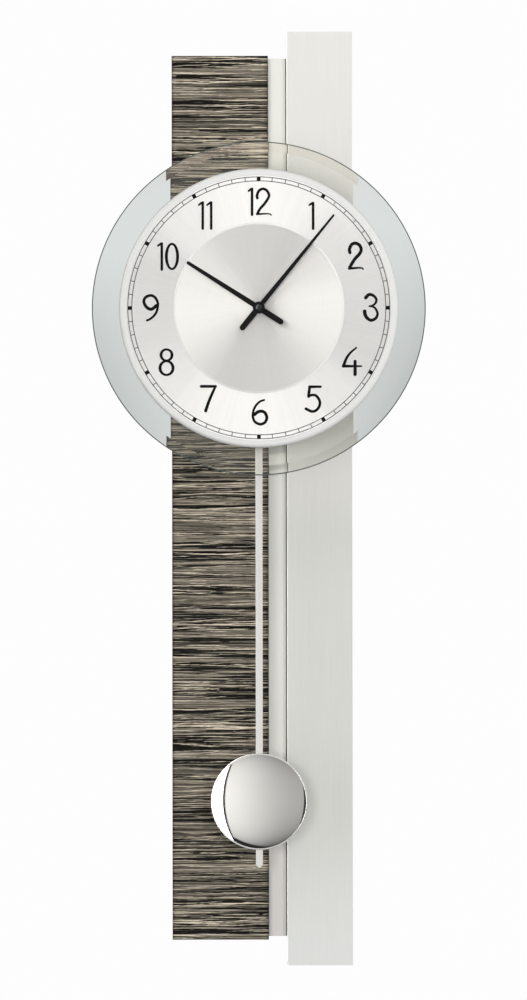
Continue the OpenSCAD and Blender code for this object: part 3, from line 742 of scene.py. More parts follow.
def wood_surface(name):
    """Dark cross-grain veneer: strands from the mesh's own colours, fine fibres over them."""
    m, n, b, _ = shader(name)
    at = n.new("ShaderNodeAttribute", attribute_name="strand")
    sep = n.new("ShaderNodeSeparateColor")
    n.put(sep.inputs[0], at.outputs["Color"])
    tone, height, hue = sep.outputs
    f1 = n.noise(n.coords((11, 60, 1300)), detail=5, rough=0.66, distort=0.12)
    f2 = n.noise(n.coords((26, 60, 3600)), detail=3, rough=0.6)
    f3 = n.noise(n.coords((260, 60, 5200)), detail=2, rough=0.6)
    fibre = n.add(n.add(n.mul(n.sub(f1, 0.5), 0.95), n.mul(n.sub(f2, 0.5), 0.55)), n.mul(n.sub(f3, 0.5), 0.20))
    t = n.add(n.mul(n.sub(n.add(tone, fibre), 0.46), 1.24), 0.452)
    grey = n.colours(
        t,
        [(0.0, (0.0035, 0.003, 0.0026)), (0.18, (0.015, 0.013, 0.011)), (0.42, (0.104, 0.091, 0.074)), (0.66, (0.246, 0.216, 0.174)), (1.0, (0.68, 0.60, 0.48))],
    )
    olive = n.colours(
        t,
        [(0.0, (0.0035, 0.0033, 0.0026)), (0.18, (0.016, 0.0148, 0.0115)), (0.42, (0.106, 0.098, 0.076)), (0.66, (0.246, 0.224, 0.174)), (1.0, (0.65, 0.59, 0.46))],
    )
    n.put(b.inputs["Base Color"], n.mix(hue, grey, olive))
    n.put(b.inputs["Roughness"], n.add(n.mul(t, -0.12), 0.60))
    b.inputs["Specular IOR Level"].default_value = 0.14
    n.put(b.inputs["Normal"], n.bump(fibre, 0.25, 0.0002))
    return m


def glass_shader(name, tint, painted_reflection=0.0, painted_reflection_colour=(1, 1, 1)):
    m, n, b, out = shader(name)
    cloud = n.noise(n.coords((14, 14, 14)), detail=2)
    place = n.new("ShaderNodeTexCoord")
    part = n.new("ShaderNodeSeparateXYZ")
    n.put(part.inputs[0], place.outputs["Object"])
    u = n.math("DIVIDE", n.sub(part.outputs[0], AX), 0.118)
    v = n.math("DIVIDE", n.sub(part.outputs[2], AZ), 0.118)
    uu = n.mul(u, u)
    # painted shade: the tint darkens towards the lower left and lower right of the disc, none at its top, standing in
    # for shade behind it; the cloud adds random tone
    painted_shade = n.sub(n.add(1.0, n.mul(n.mul(uu, v), 0.36)), n.add(n.mul(uu, 0.14), n.mul(u, 0.022)))
    painted_shade = n.math("MINIMUM", n.sub(painted_shade, n.mul(cloud, 0.012)), 1.0)
    n.put(b.inputs["Base Color"], n.mix(1.0, n.mix(painted_shade, (0, 0, 0, 1), (1, 1, 1, 1)), (*tint, 1), "MULTIPLY"))
    b.inputs["Roughness"].default_value = 0.0
    b.inputs["Transmission Weight"].default_value = 1.0
    b.inputs["IOR"].default_value = 1.46
    surface = b.outputs[0]
    if painted_reflection:
        # painted reflection: a peach diffuse layer on the facet, strongest towards the top of the disc only, stands in
        # for the lights reflected in it
        at = n.new("ShaderNodeTexCoord")
        sep = n.new("ShaderNodeSeparateXYZ")
        n.put(sep.inputs[0], at.outputs["Object"])
        up = n.math("DIVIDE", n.sub(sep.outputs[2], AZ), 0.116)
        d = n.new("ShaderNodeBsdfDiffuse")
        d.inputs["Color"].default_value = (*painted_reflection_colour, 1)
        mixer = n.new("ShaderNodeMixShader")
        n.put(mixer.inputs[0], n.mul(n.ramp(up, 0.55, 1.05), painted_reflection))
        n.put(mixer.inputs[1], surface)
        n.put(mixer.inputs[2], d.outputs[0])
        surface = mixer.outputs[0]
    clear = n.new("ShaderNodeBsdfTransparent")
    clear.inputs["Color"].default_value = (0.985, 0.988, 0.980, 1)
    lp = n.new("ShaderNodeLightPath")
    top = n.new("ShaderNodeMixShader")
    n.put(top.inputs[0], lp.outputs["Is Shadow Ray"])
    n.put(top.inputs[1], surface)
    n.put(top.inputs[2], clear.outputs[0])
    n.put(out.inputs["Surface"], top.outputs[0])
    return m


def chrome(name, rough):
    m, n, b, _ = shader(name)
    smear = n.noise(n.coords((60, 60, 60)), detail=3)
    grain = n.noise(n.coords((2500, 2500, 2500)), detail=2)
    t = n.add(n.mul(smear, 0.6), n.mul(grain, 0.4))
    n.put(b.inputs["Base Color"], n.colours(t, [(0.3, (0.945, 0.945, 0.94)), (0.7, (0.975, 0.975, 0.97))]))
    n.put(b.inputs["Roughness"], n.add(n.mul(smear, 0.03), rough - 0.015))
    b.inputs["Metallic"].default_value = 1.0
    return m


def cell_sleeve(name):
    """Plain printed sleeve of a round cell: dark with a copper-coloured end."""
    m, n, b, _ = shader(name)
    co = n.new("ShaderNodeTexCoord")
    sep = n.new("ShaderNodeSeparateXYZ")
    n.put(sep.inputs[0], co.outputs["Object"])
    lo_, hi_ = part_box("battery")
    at = n.ramp(sep.outputs[0], lo_.x + (hi_.x - lo_.x) * 0.72, lo_.x + (hi_.x - lo_.x) * 0.725)
    tip = n.ramp(sep.outputs[0], hi_.x - 0.0017, hi_.x - 0.0015)
    spots = n.noise(n.coords((500, 500, 500)), detail=3)
    dark = n.colours(spots, [(0.3, (0.03, 0.032, 0.036)), (0.7, (0.045, 0.048, 0.053))])
    copper = n.colours(spots, [(0.3, (0.52, 0.27, 0.13)), (0.7, (0.60, 0.33, 0.17))])
    c = n.mix(at, dark, copper)
    n.put(b.inputs["Base Color"], n.mix(tip, c, (0.6, 0.6, 0.58, 1)))
    n.put(b.inputs["Roughness"], n.add(n.mul(spots, 0.1), 0.25))
    b.inputs["Metallic"].default_value = 0.35
    return m


def winding(name, axis_scale):
    """Copper wire laid in turns."""
    m, n, b, _ = shader(name)
    wv = n.new("ShaderNodeTexWave", wave_type="BANDS", bands_direction="Z")
    n.put(wv.inputs["Vector"], n.coords(axis_scale))
    wv.inputs["Scale"].default_value = 1.0
    wv.inputs["Distortion"].default_value = 0.6
    n.put(b.inputs["Base Color"], n.colours(wv.outputs["Fac"], [(0.1, (0.28, 0.09, 0.03)), (0.8, (0.78, 0.36, 0.15))]))
    n.put(b.inputs["Roughness"], n.add(n.mul(wv.outputs["Fac"], -0.1), 0.4))
    b.inputs["Metallic"].default_value = 0.8
    n.put(b.inputs["Normal"], n.bump(wv.outputs["Fac"], 0.5, 0.0001))
    return m


def board_surface(name):
    """Green board with copper tracks under lacquer."""
    m, n, b, _ = shader(name)
    br = n.new("ShaderNodeTexBrick")
    n.put(br.inputs["Vector"], n.coords((400, 400, 400), rotate=(math.radians(90), 0, 0)))
    br.inputs["Scale"].default_value = 1.0
    br.inputs["Mortar Size"].default_value = 0.05
    br.inputs["Color1"].default_value = (0.02, 0.12, 0.05, 1)
    br.inputs["Color2"].default_value = (0.03, 0.15, 0.06, 1)
    br.inputs["Mortar"].default_value = (0.09, 0.28, 0.10, 1)
    n.put(b.inputs["Base Color"], br.outputs["Color"])
    sp = n.noise(n.coords((800, 800, 800)), detail=3)
    n.put(b.inputs["Roughness"], n.add(n.mul(sp, 0.2), 0.3))
    return m


def fibre_core(name, base):
    """Pressed fibreboard seen at its cut edges."""
    m, n, b, _ = shader(name)
    flock = n.noise(n.coords((700, 1400, 700)), detail=5, rough=0.7)
    layer = n.noise(n.coords((40, 900, 40)), detail=3)
    t = n.add(n.mul(flock, 0.7), n.mul(layer, 0.3))
    n.put(b.inputs["Base Color"], n.colours(t, [(0.3, tuple(c * 0.65 for c in base)), (0.5, base), (0.72, tuple(c * 1.35 for c in base))]))
    n.put(b.inputs["Roughness"], n.add(n.mul(flock, 0.2), 0.72))
    n.put(b.inputs["Normal"], n.bump(flock, 0.35, 0.0003))
    return m


M = {
    "board_black": general("board_lacquer", (0.020, 0.020, 0.021), rough=0.42, vary=0.35, scale=(60, 60, 60), fine=(1500, 1500, 1500), bump=0.10),
    "strip_silver": lacquer("strip_lacquer"),
    "fibreboard": fibre_core("fibreboard", (0.085, 0.062, 0.045)),
    "veneer": wood_surface("dark_veneer"),
    "brushed_aluminium": brushed_panel("brushed_aluminium"),
    "zinc_screw": general("yellow_zinc", (0.62, 0.55, 0.36), rough=0.32, metal=1.0, vary=0.14, scale=(500, 500, 500), bump=0.1),
    "zinc_plate": general("zinc_plate", (0.60, 0.61, 0.62), rough=0.38, metal=1.0, vary=0.12, scale=(180, 180, 180), fine=(1200, 1200, 1200), bump=0.1),
    "black_rubber": general("black_rubber", (0.022, 0.022, 0.022), rough=0.75, vary=0.3, bump=0.3, depth=0.0002, spec=0.3),
    "felt": general("felt", (0.05, 0.05, 0.052), rough=0.95, vary=0.4, scale=(900, 900, 900), fine=(3500, 3500, 3500), bump=0.6, depth=0.0004, spec=0.1, sheen=0.5),
    "clear_glass": glass_shader("clear_glass", (1.0, 1.0, 0.965)),
    "steel": general("bright_steel", (0.66, 0.66, 0.65), rough=0.26, metal=1.0, vary=0.06, scale=(300, 300, 300), bump=0.05),
    "brass": general("brass", (0.78, 0.58, 0.25), rough=0.28, metal=1.0, vary=0.10, scale=(400, 400, 400), bump=0.06),
    "white_foam": general("white_foam", (0.80, 0.80, 0.77), rough=0.92, vary=0.10, scale=(500, 500, 500), fine=(1800, 1800, 1800), bump=0.6, depth=0.0005, spec=0.2),
    "dial_silver": spun("dial_silver", (0.955, 0.957, 0.950), 0.47, 0.78, 0.90, 0.0, rings=False),
    "spun_silver": spun("spun_silver", (0.965, 0.965, 0.952), 0.46, 0.93, 0.92, 0.25),
    "case_black": general("case_plastic", (0.024, 0.024, 0.026), rough=0.46, vary=0.2, scale=(120, 120, 120), fine=(2600, 2600, 2600), bump=0.25, depth=0.00012),
    "gear_plastic": general("gear_plastic", (0.78, 0.77, 0.71), rough=0.38, vary=0.05, scale=(200, 200, 200), bump=0.08, spec=0.45),
    "iron": general("soft_iron", (0.36, 0.36, 0.37), rough=0.42, metal=1.0, vary=0.15, scale=(400, 400, 400), bump=0.15),
    "copper": winding("copper_winding", (600, 600, 2600)),
    "board_green": board_surface("circuit_board"),
    "crystal_can": general("crystal_can", (0.72, 0.72, 0.74), rough=0.2, metal=1.0, vary=0.06, scale=(600, 600, 600), bump=0.04),
    "cell_sleeve": cell_sleeve("cell_sleeve"),
    "magnet": general("sintered_magnet", (0.16, 0.16, 0.17), rough=0.5, metal=0.7, vary=0.25, scale=(700, 700, 700), bump=0.3),
    "hand_black": general("hand_black", (0.0045, 0.0045, 0.0048), rough=0.50, spec=0.16, vary=0.25, scale=(250, 250, 250), fine=(2200, 2200, 2200), rough_vary=0.06, bump=0.06, depth=0.00004),
    "rod_silver": general("rod_silver", (0.90, 0.90, 0.89), rough=0.30, metal=0.8, vary=0.03, scale=(300, 300, 12), fine=(2400, 2400, 30), rough_vary=0.06, bump=0.05, depth=0.00004),
    "bob_chrome": chrome("bob_chrome", 0.055),
    "bob_steel": chrome("bob_back_steel", 0.16),
}
ink = general("printed_ink", (0.0040, 0.0040, 0.0042), rough=0.65, spec=0.10, vary=0.3, scale=(700, 700, 700), fine=(3000, 3000, 3000), bump=0.1, depth=0.00003)
ink_grey = general("printed_grey", (0.055, 0.055, 0.056), rough=0.6, spec=0.2, vary=0.15, scale=(700, 700, 700), fine=(3000, 3000, 3000), bump=0.05, depth=0.00003)
bevel_glass = glass_shader("bevelled_glass", (0.990, 0.995, 0.960), painted_reflection=0.19, painted_reflection_colour=(0.62, 0.49, 0.40))
# painted reflection: the glass's rim is an opaque dark green-grey, standing in for the dark line internal reflection
# shows at a glass edge, together with the green of glass seen edge-on
rim_glass_painted_dark = general("glass_rim_painted_dark", (0.072, 0.086, 0.082), rough=0.45, vary=0.12, scale=(120, 120, 120), fine=(1600, 1600, 1600), bump=0.1, depth=0.00005, spec=0.3)
dial_edge = general("dial_edge", (0.655, 0.655, 0.643), rough=0.42, metal=0.04, spec=0.25, vary=0.015, scale=(60, 60, 60), fine=(1800, 1800, 1800), rough_vary=0.04, bump=0.03, depth=0.00003)
disc_edge = general("disc_edge", (0.72, 0.72, 0.705), rough=0.45, metal=0.04, spec=0.2, vary=0.015, scale=(60, 60, 60), fine=(1800, 1800, 1800), rough_vary=0.04, bump=0.03, depth=0.00003)

# every CAD node takes the finish of its slot
for name, ob in nodes.items():
    slots = [s_.material.name.split(".")[0] if s_.material else None for s_ in ob.material_slots]
    for i, s_ in enumerate(slots):
        if s_ in M:
            ob.data.materials[i] = M[s_]

# ---------------------------------------------------------------- veneer


def veneer():
    """Skin of the left panel: raised cross-grain strands on a fine grid, with the window cut out."""
    x0, x1, z0, z1, f0, f1 = box_mm("wood_veneer")
    wx, wt_, wb = -36.0, 45.0, -68.0
    rng = np.random.default_rng(20)
    xs = np.unique(np.concatenate([[x0, x0 + 0.25, x0 + 0.6], np.arange(x0 + 2.2, x1 - 1.4, 2.35), [x1 - 0.6, x1 - 0.25, x1, wx]]))
    zs = np.unique(np.concatenate([[z0, z0 + 0.25, z1 - 0.25, z1, wb, wt_], np.arange(z0 + 0.45, z1 - 0.3, 0.215)]))
    nx, nz = len(xs), len(zs)
    H = np.full((nz, nx), 0.30)
    T = np.full((nz, nx), 0.36)
    U = rng.random((nz, nx)) * 0.0

    def lay(cx, cz, length, half, slope, bow, wave, phase, tone, high, hue, force=False, edge=0.22):
        i0, i1 = np.searchsorted(xs, cx - length / 2), np.searchsorted(xs, cx + length / 2)
        if i1 <= i0:
            return
        x = xs[i0:i1] - cx
        u = 2 * x / length
        tap = np.clip(1 - u * u, 0, 1) ** 0.5
        line = cz + slope * x + bow * u * u + wave * np.sin(x * 0.11 + phase) + 0.4 * wave * np.sin(x * 0.31 + 2 * phase)
        th = half * (0.12 + 0.88 * tap) * (tap > 0)
        j0, j1 = np.searchsorted(zs, (line - th).min()), np.searchsorted(zs, (line + th).max())
        if j1 <= j0:
            return
        q = (zs[j0:j1, None] - line[None, :]) / np.maximum(th[None, :], 1e-6)
        inside = np.abs(q) < 1
        h = high * (1 - q * q) * (0.5 + 0.5 * tap[None, :])
        cur = H[j0:j1, i0:i1]
        win = inside if force else inside & (h > cur)
        H[j0:j1, i0:i1] = np.where(win, h, cur)
        # painted light and shade: each strand is lighter along its upper edge and darker along its lower edge, as if
        # lit from above; edge sets how much
        T[j0:j1, i0:i1] = np.where(win, tone + edge * q, T[j0:j1, i0:i1])
        U[j0:j1, i0:i1] = np.where(win, hue, U[j0:j1, i0:i1])

    wide = x1 - x0
    mood = np.interp(zs, np.arange(z0 - 30, z1 + 40, 9.0), rng.normal(0, 0.040, len(np.arange(z0 - 30, z1 + 40, 9.0))))

    def around(cz):
        return float(np.interp(cz, zs, mood))

    for _ in range(8200):
        kind = rng.random()
        tone = rng.normal(0.475, 0.075) if kind < 0.80 else (rng.uniform(0.24, 0.36) if kind < 0.90 else rng.uniform(0.58, 0.72))
        cz = rng.uniform(z0 - 2, z1 + 2)
        lay(
            rng.uniform(x0 - 30, x1 + 30), cz, rng.uniform(50, 190), rng.uniform(0.16, 0.62),
            rng.normal(0, 0.008), rng.normal(0, 0.25), abs(rng.normal(0, 0.16)), rng.uniform(0, 6.28),
            tone + around(cz), rng.uniform(0.35, 1.0), rng.random() * 0.9, False, 0.12,
        )
    # long dark gaps, in loose groups
    for _ in range(310):
        gz, gx = rng.uniform(z0, z1), rng.uniform(x0 - 20, x1 + 20)
        for _ in range(int(rng.integers(1, 6))):
            lay(
                gx + rng.normal(0, 22), gz + rng.normal(0, 0.9), rng.uniform(22, 120), rng.uniform(0.17, 0.46),
                rng.normal(0, 0.010), rng.normal(0, 0.3), abs(rng.normal(0, 0.18)), rng.uniform(0, 6.28),
                rng.uniform(-0.06, 0.10), 0.0, rng.random(), True, 0.0,
            )
    # a few broader ones, tapering to points
    for _ in range(60):
        lay(
            rng.uniform(x0 - 10, x1 + 10), rng.uniform(z0, z1), rng.uniform(25, 90), rng.uniform(0.45, 0.85),
            rng.normal(0, 0.012), rng.normal(0, 0.35), abs(rng.normal(0, 0.2)), rng.uniform(0, 6.28),
            rng.uniform(-0.06, 0.03), 0.0, rng.random(), True, 0.0,
        )
    # pale hairs, some crossing the others
    for _ in range(760):
        lay(
            rng.uniform(x0 - 8, x1 + 8), rng.uniform(z0, z1), rng.uniform(10, 80), rng.uniform(0.15, 0.31),
            rng.normal(0, 0.022), rng.normal(0, 0.4), abs(rng.normal(0, 0.25)), rng.uniform(0, 6.28),
            rng.uniform(0.62, 0.98), rng.uniform(0.85, 1.0), rng.random() * 0.6, True, 0.0,
        )
    # soft darkening and rounding along the border
    dist = np.minimum.reduce([
        (xs - x0)[None, :] + 0 * zs[:, None], (x1 - xs)[None, :] + 0 * zs[:, None],
        (zs - z0)[:, None] + 0 * xs[None, :], (z1 - zs)[:, None] + 0 * xs[None, :],
    ])
    T = T - 0.34 * np.exp(-((dist / 0.55) ** 2))
    F = f1 - 0.40 + 0.40 * np.clip(H, 0, 1)
    F = np.minimum(F, f1 - 0.35 * np.exp(-((dist / 0.28) ** 2)))
    verts, index = [], -np.ones((nz, nx), int)
    gone = (xs[None, :] > wx + 1e-6) & (zs[:, None] > wb + 1e-6) & (zs[:, None] < wt_ - 1e-6)
    keep_v = ~gone
    index[keep_v] = np.arange(keep_v.sum())
    X, Z = np.meshgrid(xs, zs)
    verts = np.stack([AX + X[keep_v] / 1000, -F[keep_v] / 1000, AZ + Z[keep_v] / 1000], 1)
    a, b_, c, d = index[:-1, :-1], index[:-1, 1:], index[1:, 1:], index[1:, :-1]
    cx, cz = (X[:-1, :-1] + X[1:, 1:]) / 2, (Z[:-1, :-1] + Z[1:, 1:]) / 2
    cell = ~((cx > wx) & (cz > wb) & (cz < wt_))
    quads = np.stack([a[cell], b_[cell], c[cell], d[cell]], 1)
    # border of the kept cells, in order, as the rim and the flat back
    iw = int(np.argmin(abs(xs - wx)))
    jb, jt = int(np.argmin(abs(zs - wb))), int(np.argmin(abs(zs - wt_)))
    loop = (
        [(0, i) for i in range(nx)]
        + [(j, nx - 1) for j in range(1, jb + 1)]
        + [(jb, i) for i in range(nx - 2, iw - 1, -1)]
        + [(j, iw) for j in range(jb + 1, jt + 1)]
        + [(jt, i) for i in range(iw + 1, nx)]
        + [(j, nx - 1) for j in range(jt + 1, nz)]
        + [(nz - 1, i) for i in range(nx - 2, -1, -1)]
        + [(j, 0) for j in range(nz - 2, 0, -1)]
    )
    rim = [int(index[j, i]) for j, i in loop]
    base = len(verts)
    low = np.array([[AX + xs[i] / 1000, -f0 / 1000, AZ + zs[j] / 1000] for j, i in loop])
    verts = np.vstack([verts, low])
    k = len(rim)
    faces = [tuple(int(v) for v in q) for q in quads]
    faces += [(rim[(i + 1) % k], rim[i], base + i, base + (i + 1) % k) for i in range(k)]
    faces.append(tuple(base + i for i in range(k - 1, -1, -1)))
    me = bpy.data.meshes.new("veneer_skin")
    me.from_pydata(verts.tolist(), [], faces)
    me.materials.append(M["veneer"])
    col = np.zeros((len(verts), 4))
    col[:, 3] = 1
    col[:base, 0] = np.clip(T[keep_v], 0, 1)
    col[:base, 1] = np.clip(H[keep_v], 0, 1)
    col[:base, 2] = np.clip(U[keep_v], 0, 1)
    at = me.color_attributes.new("strand", "FLOAT_COLOR", "POINT")
    at.data.foreach_set("color", col.astype(np.float32).ravel())
    ob = bpy.data.objects.new("veneer_skin", me)
    bpy.context.scene.collection.objects.link(ob)
    finish_mesh(ob, 60)
    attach(ob, "root")
    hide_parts("wood_veneer")
    return ob


veneer()

# ---------------------------------------------------------------- aluminium sheet


def sheet():
    """Folded sheet: front face, two returned sides, the window's cut and two screw holes."""
    x0, x1, z0, z1, f0, f1 = SHEET
    t = 1.2
    line = fillet(
        [(x0, f0), (x0, f1), (x1, f1), (x1, f0), (x1 - t, f0), (x1 - t, f1 - t), (x0 + t, f1 - t), (x0 + t, f0)],
        [0.1, 0.5, 0.5, 0.1, 0.1, 0.25, 0.25, 0.1],
        6,
    )
    k = len(line)
    levels = [z0, z1]
    verts = [P(x, z, f) for z in levels for x, f in line]
    faces = [tuple(range(k)), tuple(range(2 * k - 1, k - 1, -1))]
    faces += [(i, (i + 1) % k, k + (i + 1) % k, k + i) for i in range(k)]
    cut = prism_data([(x0 - 5, -68.0), (36.0, -68.0), (36.0, 45.0), (x0 - 5, 45.0)], f0 - 5, f1 + 5)
    holes = [disc_data(1.95, f1 - t - 2, f1 + 2, 48, 47.0, z) for z in (15.0, -15.0)]
    ob = combine("sheet_front", (verts, faces), [("DIFFERENCE", cut)] + [("DIFFERENCE", h) for h in holes])
    soften(ob, 0.12, 2, 50)
    apply_all(ob)
    dress(ob, M["brushed_aluminium"], "root", sharp=50)
    flat_normals(ob)
    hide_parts("aluminium_sheet")


sheet()

# ---------------------------------------------------------------- strip

sx0, sx1, sz0, sz1, sf0, sf1 = box_mm("silver_strip")


def strip():
    parts = []
    for za, zb in ((sz0, -68.0), (45.0, sz1)):
        parts.append(prism_data(fillet([(sx0, za), (sx1, za), (sx1, zb), (sx0, zb)], [0.3, 0.3, 0.3, 0.3], 3), sf0, sf1))
    ob = solid("strip_front", joined(parts))
    soften(ob, 0.25, 3)
    apply_all(ob)
    dress(ob, M["strip_silver"], "root")
    flat_normals(ob)
    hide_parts("silver_strip")


strip()

# ---------------------------------------------------------------- glass

gx0, gx1, gz0, gz1, gf0, gf1 = box_mm("glass_disc")
GR = (gx1 - gx0) / 2
prof = fillet(
    [(4.4, gf0), (GR - 0.4, gf0), (GR, gf0 + 0.4), (GR, gf1 - 1.7), (GR - 0.75, gf1 - 1.7 * (1 - 0.75 / 6.9)), (GR - 6.9, gf1), (4.4, gf1)],
    [0.1, 0.12, 0.12, 0.12, 0.0, 0.25, 0.1],
    3,
)


def glass_pick(p, q):
    r, f = (p[0] + q[0]) / 2, (p[1] + q[1]) / 2
    if r > GR - 0.80:
        return 2
    if r > GR - 6.85 and f > gf1 - 1.72:
        return 1
    return 0


glass = lathe("glass_pane", prof, [M["clear_glass"], bevel_glass, rim_glass_painted_dark], n=384, slot="clear_glass", sharp=9, pick=glass_pick)
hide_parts("glass_disc")

# ---------------------------------------------------------------- dial pan and centre disc

px0, px1, pz0, pz1, pf0, pf1 = box_mm("dial_pan")
PR = (px1 - px0) / 2
FACE = pf1
edge = 2.8
arc_out = [(PR - edge + edge * math.sin(t), FACE - edge + edge * math.cos(t)) for t in np.linspace(0, math.pi / 2, 15)]
arc_in = [(PR - edge + (edge - 0.8) * math.sin(t), FACE - edge + (edge - 0.8) * math.cos(t)) for t in np.linspace(math.pi / 2, 0, 9)]
inner = [(r, FACE) for r in (3.6, 20, 40, 60, 75, 88, 93.3)]
prof = inner + arc_out + [(PR, pf0 + 0.1), (PR - 0.1, pf0), (PR - 0.7, pf0), (PR - 0.8, pf0 + 0.1)] + arc_in + [(60, FACE - 0.8), (3.6, FACE - 0.8)]
pan = lathe("dial_plate", prof, [M["dial_silver"], dial_edge], n=360, slot="dial_silver", sharp=25, pick=lambda p, q: 1 if (p[0] + q[0]) / 2 > 93.3 else 0)
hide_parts("dial_pan")

cx0, cx1, cz0, cz1, cf0, cf1 = box_mm("centre_disc")
DR = (cx1 - cx0) / 2
prof = (
    [(3.6, cf0)] + [(DR, cf0), (DR, cf0 + 0.1)]
    + fillet([(DR - 1.3, cf1)], [0], 1)
    + [(DR - 1.32, cf1)] + [(r, cf1) for r in (50, 38, 26, 14, 3.6)]
)
prof = [(3.6, cf0), (30, cf0), (DR - 0.05, cf0), (DR, cf0 + 0.05), (DR, cf0 + 0.14)] + [
    (DR - 1.3 * t - 0.04 * math.sin(math.pi * t), cf0 + 0.14 + (cf1 - cf0 - 0.14) * t + 0.05 * math.sin(math.pi * t)) for t in np.linspace(0.15, 1.0, 6)
] + [(r, cf1) for r in (57.5, 50, 38, 26, 14, 3.6)]
disc = lathe("spun_disc", prof, [M["spun_silver"], disc_edge], n=360, slot="spun_silver", sharp=20, pick=lambda p, q: 1 if (p[0] + q[0]) / 2 > DR - 1.32 else 0)
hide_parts("centre_disc")

# ---------------------------------------------------------------- print on the dial

MMPX = 0.705


def I(x, y):
    """Dial position from the drawing grid the numerals were laid out on."""
    return ((x - 259.0) * MMPX, (308.0 - y) * MMPX)


INK0, INK1 = FACE - 0.02, FACE + 0.05


WEIGHT = {"numeral_1": 1.10, "numeral_10": 1.04, "numeral_11": 1.06, "numeral_12": 1.17, "numeral_2": 1.36, "numeral_3": 1.52, "numeral_4": 1.36, "numeral_5": 1.30, "numeral_6": 1.38, "numeral_7": 1.24, "numeral_9": 1.44}


def numeral(name, strokes, rings=()):
    """One numeral from pen strokes, each its own layer height, merged into one clean solid."""
    parts = []
    for i, s_ in enumerate(strokes):
        pts = [I(*p) for p in s_["p"]]
        pen = WEIGHT.get(name, 1.2) * MMPX
        out = stroke(pts, s_["w"][0] * pen, s_["w"][-1] * pen, s_.get("curved", True), caps=s_.get("caps", (True, True)))
        parts.append(prism_data(out, INK0, INK1 + 0.004 * i))
    for j, (c, rx, ry, wx_, wy_) in enumerate(rings):
        x, z = I(*c)
        parts.append(ring_data(x, z, (rx + 0.15) * MMPX, (ry + 0.15) * MMPX, (wx_ + 0.4) * MMPX, (wy_ + 0.35) * MMPX, INK0, INK1 + 0.004 * (len(strokes) + j)))
    ob = combine(name, parts[0], [("UNION", q) for q in parts[1:]]) if len(parts) > 1 else solid(name, parts[0])
    return ob


def one(flag, top, stem, bottom, width):
    return [
        {"p": [flag, ((flag[0] + stem) / 2, (flag[1] + top) / 2 - 0.2), (stem, top)], "w": (width * 0.72, width)},
        {"p": [(stem, top), (stem, bottom)], "w": (width, width), "curved": False},
    ]


def two(curve, base, tip, width):
    return [
        {"p": curve, "w": (width, width)},
        {"p": [base[0], base[1], tip], "w": (width * 0.80, width * 0.45), "curved": True},
    ]


